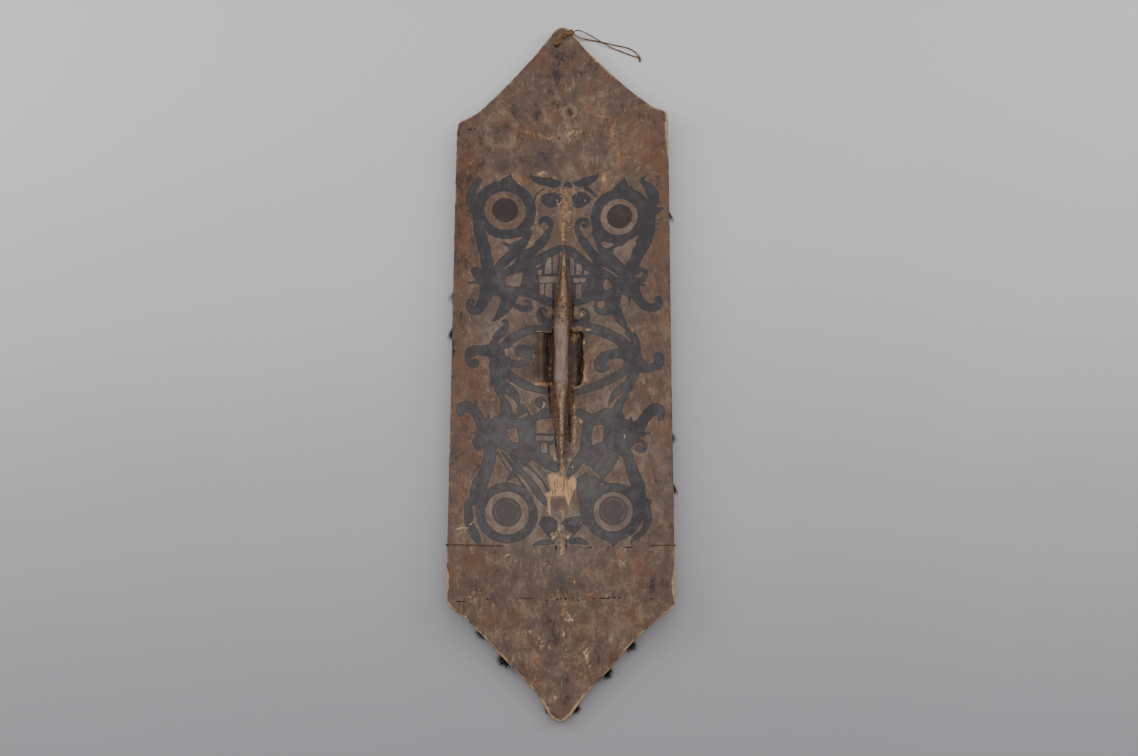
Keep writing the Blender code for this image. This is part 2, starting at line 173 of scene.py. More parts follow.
# Cords: the free loop of twine is two strands from the lashing to the knot that joins their ends
twine = {
    "diameter": 0.0026,
    "pitch": 0.0075,
    "plyRadius": 0.36,         # of the diameter, for each of the two plies
    "plyOffset": 0.14,         # of the diameter, from the middle of the twine
    "plySides": 8,
    "step": 0.0011,
    "strands": (
        (
            (0.0236, 0.6215, 0.0142), (0.0272, 0.6230, 0.0122), (0.0320, 0.6233, 0.0107),
            (0.0378, 0.6219, 0.0090), (0.0445, 0.6192, 0.0075), (0.0523, 0.6152, 0.0062),
            (0.0600, 0.6108, 0.0053), (0.0672, 0.6064, 0.0048), (0.0741, 0.6022, 0.0045),
            (0.0807, 0.5982, 0.0040), (0.0864, 0.5950, 0.0030), (0.0938, 0.5917, 0.0019),
            (0.1044, 0.5879, 0.0014), (0.1136, 0.5838, 0.0014), (0.1228, 0.5797, 0.0014),
            (0.1305, 0.5769, 0.0016), (0.1376, 0.5752, 0.0020),
        ),
        (
            (0.0240, 0.6143, 0.0104), (0.0276, 0.6124, 0.0078), (0.0325, 0.6114, 0.0052),
            (0.0395, 0.6107, 0.0030), (0.0473, 0.6096, 0.0018), (0.0551, 0.6082, 0.0014),
            (0.0623, 0.6070, 0.0014), (0.0690, 0.6055, 0.0014), (0.0758, 0.6040, 0.0014),
            (0.0834, 0.6024, 0.0014), (0.0915, 0.6003, 0.0014), (0.1005, 0.5979, 0.0014),
            (0.1105, 0.5958, 0.0014), (0.1203, 0.5931, 0.0014), (0.1282, 0.5892, 0.0014),
            (0.1346, 0.5843, 0.0016), (0.1396, 0.5790, 0.0020),
        ),
    ),
}

# The knot: two ends in place, and a curve whose lobes reach three times its size
knotShape = {
    "from": (0.1405, 0.5770, 0.0027),
    "to": (0.1432, 0.5668, 0.0024),
    "middle": 0.46,            # share of the way between the two
    "size": 0.00078,
    "reach": 1.35,
    "spread": 0.85,
    "lift": 1.1,
    "points": 72,
    "diameter": 0.0021,
    "pitch": 0.006,
    "endLength": 0.0055,
    "endPlace": 0.75,
    "endOffset": 0.0006,
    "endDrop": 0.0014,
    "hairs": 9,
    "hairRadius": 0.00035,
    "hairStep": 0.0016,
}


# Two plies of fibre twisted round each other along a route
def addTwist(skin, route, diameter, pitch, phase=0.0, closed=False):
    frames = routeFrames(route, closed)
    length = routeLength(route)
    turns = max(1, round(length / pitch))
    for ply in range(2):
        rings = []
        travelled = 0.0
        for i, (point, (side, up)) in enumerate(zip(route, frames)):
            if i:
                travelled += (point - route[i - 1]).length
            share = i / len(route) if closed else travelled / length
            angle = phase + math.pi * ply + 2 * math.pi * turns * share
            centre = point + twine["plyOffset"] * diameter * (math.cos(angle) * side + math.sin(angle) * up)
            rings.append(circle(centre, twine["plyRadius"] * diameter, side, up, twine["plySides"]))
        skin.addRings(rings, closed)


# An overhand knot pulled tight, with two short frayed ends
def makeKnot():
    start = Vector(knotShape["from"])
    end = Vector(knotShape["to"])
    along = (end - start).normalized()
    across = along.cross(straightUp).normalized()
    middle = start.lerp(end, knotShape["middle"])
    size = knotShape["size"]
    route = []
    for step in range(knotShape["points"]):
        t = 2 * math.pi * step / knotShape["points"]
        lift = straightUp * (-math.sin(3 * t)) * size * knotShape["lift"]
        reach = along * (math.cos(t) - 2 * math.cos(2 * t)) * size * knotShape["reach"]
        spread = across * (math.sin(t) + 2 * math.sin(2 * t)) * size * knotShape["spread"]
        route.append(middle + lift + reach + spread)
    skin = Skin()
    addTwist(skin, route, knotShape["diameter"], knotShape["pitch"], closed=True)
    # the two strands run on into the knot
    for points in twine["strands"]:
        last = Vector(points[-1])
        entry = smoothRoute((last, last.lerp(middle, 0.5), middle), twine["step"])
        addTwist(skin, entry, twine["diameter"], knotShape["pitch"])
    draw = np.random.default_rng(31)
    for side in (-1, 1):
        root = start.lerp(end, knotShape["endPlace"]) + across * side * knotShape["endOffset"]
        for _hair in range(knotShape["hairs"]):
            aim = along + across * (side * 0.25 + draw.uniform(-0.3, 0.3))
            aim += Vector((0.0, 0.0, draw.uniform(-0.05, 0.05)))
            reach = knotShape["endLength"] * draw.uniform(0.55, 1.0)
            tip = root + aim.normalized() * reach
            tip.z = max(0.0005, tip.z - knotShape["endDrop"])
            bend = root.lerp(tip, 0.5) + across * draw.uniform(-0.0008, 0.0008)
            bend.z = max(bend.z, 0.0007)
            line = smoothRoute((root, bend, tip), knotShape["hairStep"])
            rings = []
            for i, (point, (right, up)) in enumerate(zip(line, routeFrames(line))):
                radius = knotShape["hairRadius"] * (1.0 - 0.7 * i / (len(line) - 1))
                rings.append(circle(point, radius, right, up, 4))
            skin.addRings(rings)
    return makePiece("knot", skin.points, skin.faces)


def makeCords():
    strands = []
    for index, points in enumerate(twine["strands"]):
        route = smoothRoute(points, twine["step"])
        skin = Skin()
        addTwist(skin, route, twine["diameter"], twine["pitch"], phase=1.3 * index)
        strand = makePiece(f"loop_strand_{index + 1}", skin.points, skin.faces)
        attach(strand, "root")
        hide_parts(f"twine_strand_{index + 1}")
        strands.append(strand)
    return strands


knot = makeKnot()
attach(knot, "root")
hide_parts("twine_knot")
loopStrands = makeCords()
print("twine loop laid out")


# Board: the same driving sizes as its solid, in metres
board = {
    "length": 1.250,
    "halfWidth": 0.190,
    "edgeFrontZ": 0.036,
    "edgeBackZ": 0.046,
    "troughZ": 0.020,
    "troughRadius": 0.020,
    "ridgeHalf": 0.014,
    "tipLift": 0.008,
    "tipLiftLength": 0.090,
    "bevel": 0.0026,
    "bevelTurns": (0.30, 0.62, 0.90),              # shares of its quarter turn that get a point
    "tipFlat": 0.004,
    "tipCurve": 0.55,
    # the four slanted sides: distance from the point of the board, and distance from the middle line
    "topLeft": ((0.012, 0.0190), (0.060, 0.0528), (0.104, 0.0872), (0.144, 0.1212), (0.180, 0.1548),
                (0.196, 0.1792), (0.200, 0.1864), (0.207, 0.1894)),
    "topRight": ((0.012, 0.0195), (0.040, 0.0390), (0.076, 0.0705), (0.117, 0.1082), (0.149, 0.1420),
                 (0.173, 0.1752), (0.1765, 0.1866), (0.186, 0.1908)),
    "bottomLeft": ((0.011, 0.0195), (0.042, 0.0385), (0.088, 0.0825), (0.132, 0.1250), (0.165, 0.1585),
                   (0.180, 0.1810), (0.186, 0.1880), (0.193, 0.1902)),
    "bottomRight": ((0.011, 0.0190), (0.042, 0.0425), (0.088, 0.0860), (0.131, 0.1240), (0.153, 0.1490),
                    (0.173, 0.1745), (0.181, 0.1870), (0.188, 0.1902)),
    "hole": (-0.011, 0.588),
    "holeRadius": 0.0040,
    "holeWobble": 0.04,
    "holeSides": 28,
    "drillZ": (-0.010, 0.060),
    "caneRows": (0.415, 0.331, -0.338, -0.427),
    "caneWidth": 0.0040,
    "caneThickness": 0.0016,
    "caneRecess": 0.0002,
    "touch": 0.0003,
    "sharpDeg": 62,
}

# Handle: place along Y, left and right foot, middle and half width of the crest, height of the crest
handle = {
    "rows": (
        (0.206, 0.0010, 0.0090, 0.0045, 0.0025, 0.0180), (0.180, -0.0040, 0.0120, 0.0040, 0.0030, 0.0265),
        (0.150, -0.0070, 0.0150, 0.0035, 0.0040, 0.0340), (0.118, -0.0105, 0.0175, 0.0030, 0.0060, 0.0430),
        (0.088, -0.0140, 0.0210, 0.0020, 0.0090, 0.0530), (0.062, -0.0170, 0.0200, 0.0010, 0.0120, 0.0600),
        (0.030, -0.0180, 0.0180, 0.0000, 0.0135, 0.0620), (-0.044, -0.0180, 0.0180, 0.0000, 0.0130, 0.0620),
        (-0.074, -0.0200, 0.0210, 0.0000, 0.0100, 0.0590),
        (-0.105, -0.0170, 0.0210, 0.0000, 0.0060, 0.0500),
        (-0.145, -0.0110, 0.0180, 0.0005, 0.0040, 0.0390),
        (-0.180, -0.0060, 0.0130, 0.0010, 0.0032, 0.0290),
        (-0.211, -0.0030, 0.0060, 0.0015, 0.0025, 0.0180),
    ),
    "floorDrop": 0.006,        # the handle is worked out from this far below the trough
    # the rounded crest from its middle out: share of the crest's half width, share of the height
    "crown": ((0.0, 1.0), (0.36, 0.99), (0.68, 0.955), (0.90, 0.88), (1.0, 0.80)),
    "shoulder": 0.30,          # how far out towards the foot the flank has its bend
    "footRun": 0.0009,
    "flankHeights": (0.55, 0.30, -0.25),           # at that bend, at the foot, and footRun beyond it
    "gripShoulder": 0.69,
    "gripOverlap": 0.009,      # length over which the grip is let into the handle at each end
    "gripSunk": 0.0012,
    "gripBottomZ": 0.038,
    # the underside of the grip: share of the half width, height above its bottom
    "gripUnder": ((0.90, 0.0035), (0.70, 0.0012), (0.40, 0.0002), (0.0, 0.0)),
    "waist": 0.0030,
    "gripRings": 64,
}

# Finger hollow: its section across the board, and its plan scale and rise at stations along Y
hollow = {
    "section": ((-0.0440, 0.0255), (-0.0400, 0.0212), (-0.0330, 0.0188), (-0.0275, 0.0160), (-0.0215, 0.0118),
                (-0.0080, 0.0106), (0.0060, 0.0108), (0.0130, 0.0142), (0.0200, 0.0152), (0.0250, 0.0138),
                (0.0290, 0.0106), (0.0345, 0.0108), (0.0366, 0.0180), (0.0385, 0.0290)),
    "stations": ((-0.057, 0.80, 0.0060), (-0.052, 0.93, 0.0024), (-0.045, 1.00, 0.0006), (-0.010, 1.00, 0.0),
                 (0.020, 1.00, 0.0), (0.038, 1.00, 0.0006)),
    "wall": 0.0024,            # length over which its end walls climb
    # ragged lip along the right side, as noise: strength, waves in a metre, seed
    "torn": ((0.0026, 150.0, 5), (0.0018, 420.0, 6)),
    "tornRight": 0.0022,       # mean raggedness of the right lip, and of the left one
    "tornLeft": 0.0005,
    "lipRight": (0.012, 0.030),                    # where that begins and is full, from the middle line out
    "lipLeft": (0.015, 0.035),
    "slip": 0.0017,            # raggedness of the two end walls
}

# Mesh of the board
weave = {
    "rowStep": 0.0024,
    "farRowStep": 0.0040,
    "fineUpTo": 0.345,
    "closest": 0.0007,         # no row comes nearer than this to a pinned one
    "tipRows": (0.0004, 0.0012, 0.0026, 0.0045, 0.007, 0.010),
    "wallRows": (-0.7, -0.35, 0.0, 0.2, 0.4, 0.6, 0.8, 1.0, 1.35, 1.7),
    "innerHalf": 0.040,        # how far the columns beside the handle reach
    "footStep": 0.0010,
    "outerColumns": 56,
    "footColumns": 16,
    "flankColumns": 6,
    "crestColumns": 8,
    "frontColumns": 9,
}

# The hand of the carver and the wear, as noise: strength in metres, size across and along in mm, seed
carving = {
    "waves": ((0.00035, 55, 120, 11), (0.00022, 17, 38, 12), (0.00010, 4.2, 24, 13)),
    "fibres": ((0.0007, 3.1, 17, 14), (0.0004, 9, 8, 15)),
    "fadeOut": (188, 178),     # the waves end between these distances from the middle line, in millimetres
    "frontWave": 0.0002,
    "edgeWear": ((0.00035, 14, 21), (0.00022, 4.1, 22)),       # strength, length, seed
    "wearFade": 0.030,
}


# Values of a table of (position, value...) rows with slopes that never overshoot
def readTable(rows, position, column=1):
    rows = sorted(rows)
    spots = [row[0] for row in rows]
    values = [row[column] for row in rows]
    if position <= spots[0]:
        return values[0]
    if position >= spots[-1]:
        return values[-1]
    slopes = [(values[i + 1] - values[i]) / (spots[i + 1] - spots[i]) for i in range(len(spots) - 1)]
    tangents = [slopes[0]]
    for before, after in zip(slopes, slopes[1:]):
        tangents.append(0.0 if before * after <= 0 else 2 * before * after / (before + after))
    tangents.append(slopes[-1])
    index = max(i for i in range(len(spots) - 1) if spots[i] <= position)
    span = spots[index + 1] - spots[index]
    t = (position - spots[index]) / span
    start = (1 + 2 * t) * (1 - t) ** 2 * values[index] + t * (1 - t) ** 2 * span * tangents[index]
    end = t * t * (3 - 2 * t) * values[index + 1] + t * t * (t - 1) * span * tangents[index + 1]
    return start + end


def halfWidth(y, side):
    ends = ("topRight", "topLeft") if y > 0 else ("bottomRight", "bottomLeft")
    corners = board[ends[0] if side > 0 else ends[1]]
    fromTip = max(board["length"] / 2 - abs(y), 0.0)
    depth, width = corners[0]
    if fromTip < depth:
        return board["tipFlat"] + (width - board["tipFlat"]) * (fromTip / depth) ** board["tipCurve"]
    rows = corners + ((board["length"] / 2, board["halfWidth"]),)
    return min(readTable(rows, fromTip), board["halfWidth"] + 0.001)


def backHeight(x):
    radius = board["troughRadius"]
    slope = (board["edgeBackZ"] - board["troughZ"]) / (math.hypot(board["halfWidth"], radius) - radius)
    return board["troughZ"] + slope * (np.hypot(x, radius) - radius)


def frontHeight(x, y):
    fromTip = board["length"] / 2 - np.abs(y)
    lift = board["tipLift"] * np.maximum(0.0, 1 - fromTip / board["tipLiftLength"])
    slope = board["edgeFrontZ"] / (board["halfWidth"] - board["ridgeHalf"])
    return lift + slope * np.maximum(0.0, np.abs(x) - board["ridgeHalf"])


# Smooth random values between -1 and 1 on a lattice, the same each run
def latticeNoise(u, v, seed):
    table = np.random.default_rng(seed).random((128, 128)) * 2 - 1
    cellU = np.floor(u).astype(int)
    cellV = np.floor(v).astype(int)
    partU = u - cellU
    partV = v - cellV
    partU = partU * partU * (3 - 2 * partU)
    partV = partV * partV * (3 - 2 * partV)
    near, far = cellU % 128, (cellU + 1) % 128
    low = table[near, cellV % 128] * (1 - partU) + table[far, cellV % 128] * partU
    high = table[near, (cellV + 1) % 128] * (1 - partU) + table[far, (cellV + 1) % 128] * partU
    return low * (1 - partV) + high * partV


# 0 below low, 1 above high, and smooth between
def ramp(value, low, high):
    t = np.clip((value - low) / (high - low), 0.0, 1.0)
    return t * t * (3 - 2 * t)


def handleRow(y):
    return [readTable(handle["rows"], y, column) for column in range(1, 6)]


# Height of the handle's own carving above the floor plane at one place along Y, as points across the board
def handleOutline(y):
    left, right, middle, crest, top = handleRow(y)
    floor = board["troughZ"] - handle["floorDrop"]
    outline = []
    for side, foot in ((-1, middle - left), (1, right - middle)):
        bend = crest + handle["shoulder"] * (foot - crest)
        half = [(share * crest, height) for share, height in handle["crown"]]
        half += zip((bend, foot, foot + handle["footRun"]), handle["flankHeights"])
        half = [(middle + side * x, floor + (top - floor) * height) for x, height in half]
        outline += half[1:] if side > 0 else reversed(half)
    return np.array(outline).T


# Places along Y: fine where the painting is, coarser towards the points, and pinned where the form turns
def boardRows():
    tip = board["length"] / 2
    pinned = [-tip, tip]
    for end in (-1, 1):
        pinned += [end * (tip - depth) for depth in weave["tipRows"]]
    for y in board["caneRows"]:
        half = board["caneWidth"] / 2 + board["touch"]
        pinned += [y - half - 0.0002, y - half, y + half, y + half + 0.0002]
    for y, way in ((hollow["stations"][0][0], -1), (hollow["stations"][-1][0], 1)):
        pinned += [y + way * hollow["wall"] * share for share in weave["wallRows"]]
    rows = list(pinned)
    y = -tip
    while y < tip:
        y += weave["rowStep"] if abs(y) < weave["fineUpTo"] else weave["farRowStep"]
        if min(abs(y - spot) for spot in pinned) > weave["closest"] and abs(y) < tip:
            rows.append(y)
    return sorted(rows)


# Places across the back at one row, with columns that keep to the handle's feet and crest
def backColumns(y, left, right):
    footLeft, footRight, middle, crest, _top = handleRow(y)
    bound = min(weave["innerHalf"], 0.45 * left, 0.45 * right)
    shrink = min(1.0, bound / weave["innerHalf"])
    footLeft, footRight, middle, crest = (value * shrink for value in (footLeft, footRight, middle, crest))
    step = weave["footStep"]
    knots = ((-left, 0), (-bound, weave["outerColumns"]), (footLeft - step, weave["footColumns"]),
             (footLeft, 1), (middle - crest, weave["flankColumns"]), (middle, weave["crestColumns"] // 2),
             (middle + crest, weave["crestColumns"] // 2), (footRight, weave["flankColumns"]),
             (footRight + step, 1), (bound, weave["footColumns"]), (right, weave["outerColumns"]))
    places = [[-left]]
    for (start, _count), (end, count) in zip(knots, knots[1:]):
        places.append(start + (end - start) * np.arange(1, count + 1) / count)
    return np.concatenate(places)


def sumOfWaves(u, v, waves):
    return sum(strength * latticeNoise(u / across, v / along, seed)
               for strength, across, along, seed in waves)


# Depth of the finger hollow's floor at points of one row
def hollowFloor(x, y):
    scale = readTable(hollow["stations"], y, 1)
    lift = readTable(hollow["stations"], y, 2)
    xs, zs = np.array(hollow["section"]).T
    torn = sum(strength * latticeNoise(y * count, 0.5, seed) for strength, count, seed in hollow["torn"])
    right = torn * ramp(x, *hollow["lipRight"])
    left = hollow["tornLeft"] * torn / hollow["tornRight"] * ramp(-x, *hollow["lipLeft"])
    return np.interp(x - (right + left), xs * scale, zs + lift, left=1.0, right=1.0)


# Torn raw wood below the handle, as one outline in millimetres
tornPatch = [
    (-23, -215), (-20, -213), (-15, -211), (-9, -213), (-4, -213), (-2, -219), (1, -215), (6, -216),
    (10, -224), (14, -222), (19, -216), (24, -220), (26, -228), (25, -239), (21, -241), (19, -250),
    (16, -257), (14.5, -266), (12.5, -272), (11, -262), (8, -254), (5, -250), (-3, -251), (-14, -251),
    (-18, -252), (-18.5, -263), (-18, -274), (-16.5, -286), (-20, -284), (-22, -273), (-23, -260),
    (-22.5, -253), (-27.5, -250), (-27.5, -246.5), (-20, -245), (-16, -239), (-19, -234), (-21, -227),
]


# The back face at one row: the two slopes, the handle, the finger hollow, and the hand of the carver
def backRow(x, y):
    z = backHeight(x)
    start = hollow["stations"][0][0]
    end = hollow["stations"][-1][0]
    carved = z
    if handle["rows"][-1][0] < y < handle["rows"][0][0]:
        xs, zs = handleOutline(y)
        carved = np.maximum(z, np.interp(x, xs, zs, left=-1.0, right=-1.0))
    wall = hollow["wall"]
    slip = hollow["slip"] * latticeNoise(x * 190, 3.5 if y > 0 else 7.5, 17) * ramp(x, 0.010, 0.020)
    inside = ramp(y - slip, start - wall, start) * (1 - ramp(y - slip, end, end + wall))
    if inside.max() > 0:
        floor = np.minimum(z, hollowFloor(x, min(max(y, start), end)))
        carved = carved * (1 - inside) + floor * inside
    u, v = x * 1000, y * 1000
    waves = sumOfWaves(u, v, carving["waves"]) * ramp(np.abs(u), *carving["fadeOut"])
    if inside.max() > 0:
        return carved + waves + ramp(z - carved, 0.0002, 0.0020) * sumOfWaves(u, v, carving["fibres"])
    return carved + waves


# Small chips out of the long edges: side, place along Y, half length, depth, in millimetres
chips = ((-1, 418, 9, 1.6), (-1, 371, 5, 0.9), (1, 441, 7, 1.8), (1, 402, 12, 0.9), (1, 233, 5, 0.8),
         (-1, 96, 6, 0.9), (1, -61, 7, 0.7), (-1, -181, 9, 0.8), (1, -297, 6, 0.8), (-1, -436, 8, 1.8),
         (1, -440, 9, 1.6), (-1, -389, 12, 0.8), (-1, 560, 5, 0.9), (1, 575, 4, 0.8), (1, -560, 6, 0.9),
         (-1, -545, 5, 0.9))


# How far the edge is worn in at one place along Y
def edgeWear(y, side):
    v = y * 1000
    worn = sum(strength * (1 + latticeNoise(v / length, side * 3.5, seed))
               for strength, length, seed in carving["edgeWear"])
    for chipSide, place, half, depth in chips:
        if chipSide == side and abs(v - place) < half:
            worn += depth / 1000 * (1 - ((v - place) / half) ** 2)
    return worn * min(1.0, (board["length"] / 2 - abs(y)) / carving["wearFade"])


# The eased edge at one place along Y, from the back to the front
def rimPoints(y, side, width, bevel):
    top = backHeight(width)
    bottom = frontHeight(width, y)
    turns = [share * math.pi / 2 for share in board["bevelTurns"]]
    corner = [(width - bevel * (1 - math.sin(turn)), bevel * (1 - math.cos(turn)) * 0.9) for turn in turns]
    rim = [(x, top - drop) for x, drop in corner]
    rim += [(width, top - bevel + (bottom - top + 2 * bevel) * share) for share in (0.25, 0.75)]
    rim += [(x, bottom + drop) for x, drop in reversed(corner)]
    return [(side * x, y, z) for x, z in rim]


# One loop round the board at a place along Y: back from left to right, rim, front from right to left, rim
def boardLoop(y):
    widths = {side: halfWidth(y, side) - edgeWear(y, side) for side in (-1, 1)}
    bevels = {side: min(board["bevel"], 0.3 * widths[side]) for side in (-1, 1)}
    left = widths[-1] - bevels[-1]
    right = widths[1] - bevels[1]
    x = backColumns(y, left, right)
    loop = [(a, y, b) for a, b in zip(x, backRow(x, y))]
    loop += rimPoints(y, 1, widths[1], bevels[1])
    half = board["caneWidth"] / 2 + board["touch"] + 0.00005
    inGroove = any(abs(y - row) < half for row in board["caneRows"])
    groove = board["caneRecess"] + board["caneThickness"] + board["touch"] if inGroove else 0.0
    ridge = min(board["ridgeHalf"], 0.5 * min(left, right))
    count = weave["frontColumns"]
    steps = np.arange(count + 1)
    spots = np.concatenate([right + (ridge - right) * steps / count, -ridge - (left - ridge) * steps / count])
    wave = carving["frontWave"] * (1 + latticeNoise(spots * 40, y * 22, 31)) * (np.abs(spots) > ridge)
    loop += [(a, y, b) for a, b in zip(spots, frontHeight(spots, y) + groove + wave)]
    loop += reversed(rimPoints(y, -1, widths[-1], bevels[-1]))
    return loop, len(x)


# The grip: the handle's crest carried on across the finger hollow, closed underneath
def gripRings():
    rings = []
    start = hollow["stations"][0][0] - handle["gripOverlap"]
    end = hollow["stations"][-1][0] + handle["gripOverlap"]
    floor = board["troughZ"] - handle["floorDrop"]
    count = handle["gripRings"]
    for step in range(count + 1):
        share = step / count
        y = start + (end - start) * share
        _left, right, middle, crest, top = handleRow(y)
        waist = handle["waist"] * math.sin(math.pi * share) ** 2
        # sunk a little into the two ends of the handle, so that the crest runs on in one line
        sunk = handle["gripSunk"] * (1 - ramp(share, 0.0, 0.10) * (1 - ramp(share, 0.90, 1.0)))
        half = crest + handle["shoulder"] * (right - middle - crest)
        upper = [(part * crest, height) for part, height in handle["crown"]]
        upper.append((0.5 * (crest + half), handle["gripShoulder"]))
        points = [(x, floor + (top - floor) * height) for x, height in upper]
        low = handle["gripBottomZ"] + 0.4 * waist
        points.append((half * 0.99, 0.5 * (points[-1][1] + low) + 0.001))
        points += [(half * part, low + lift) for part, lift in handle["gripUnder"]]
        squeeze = (half - waist - sunk) / half
        section = [(x * squeeze, z) for x, z in points]
        section += [(-x, z) for x, z in reversed(section[1:-1])]
        drop = sunk + 0.45 * waist
        ring = []
        for x, z in section:
            high = ramp(z, low, top)
            ring.append(Vector((middle + x, y, z - drop * high + sunk * (1 - high))))
        rings.append(ring)
    return rings


def cutWith(target, other, operation):
    modifier = target.modifiers.new(operation.lower(), "BOOLEAN")
    modifier.operation = operation
    modifier.solver = "EXACT"
    modifier.object = other
    bpy.context.view_layer.update()
    result = bpy.data.meshes.new_from_object(target.evaluated_get(bpy.context.evaluated_depsgraph_get()))
    target.modifiers.clear()
    target.data = result
    bpy.data.objects.remove(other, do_unlink=True)


def makeBoard(backMaterial, frontMaterial):
    loops = []
    for y in boardRows():
        loop, backCount = boardLoop(y)
        loops.append(loop)
    skin = Skin()
    skin.addRings(loops)
    piece = makePiece("board", skin.points, skin.faces)
    # the back's finish goes on round the rim, and the two blunt ends have the front's
    sides = len(loops[0])
    column = np.arange(len(skin.faces)) % sides
    index = np.where((column < backCount + 3) | (column > sides - 5), 0, 1)
    index[-2:] = 1
    skin = Skin()
    skin.addRings(gripRings())
    grip = makePiece("grip_form", skin.points, skin.faces)
    for form in (piece, grip):
        form.data.materials.append(backMaterial)
        form.data.materials.append(frontMaterial)
    piece.data.polygons.foreach_set("material_index", index.astype(np.int32))
    for form in (piece, grip):
        work = bmesh.new()
        work.from_mesh(form.data)
        bmesh.ops.recalc_face_normals(work, faces=work.faces)
        work.to_mesh(form.data)
        work.free()
    cutWith(piece, grip, "UNION")
    holeX, holeY = board["hole"]
    plan = []
    for corner in range(board["holeSides"]):
        angle = 2 * math.pi * corner / board["holeSides"]
        radius = board["holeRadius"] * (1 + board["holeWobble"] * math.sin(3 * angle))
        plan.append((holeX + radius * math.cos(angle), holeY + radius * math.sin(angle)))
    skin = Skin()
    skin.addRings([[(x, y, z) for x, y in plan] for z in board["drillZ"]])
    drill = makePiece("hole_form", skin.points, skin.faces)
    cutWith(piece, drill, "DIFFERENCE")
    piece.data.shade_smooth()
    piece.data.set_sharp_from_angle(angle=math.radians(board["sharpDeg"]))
    return piece


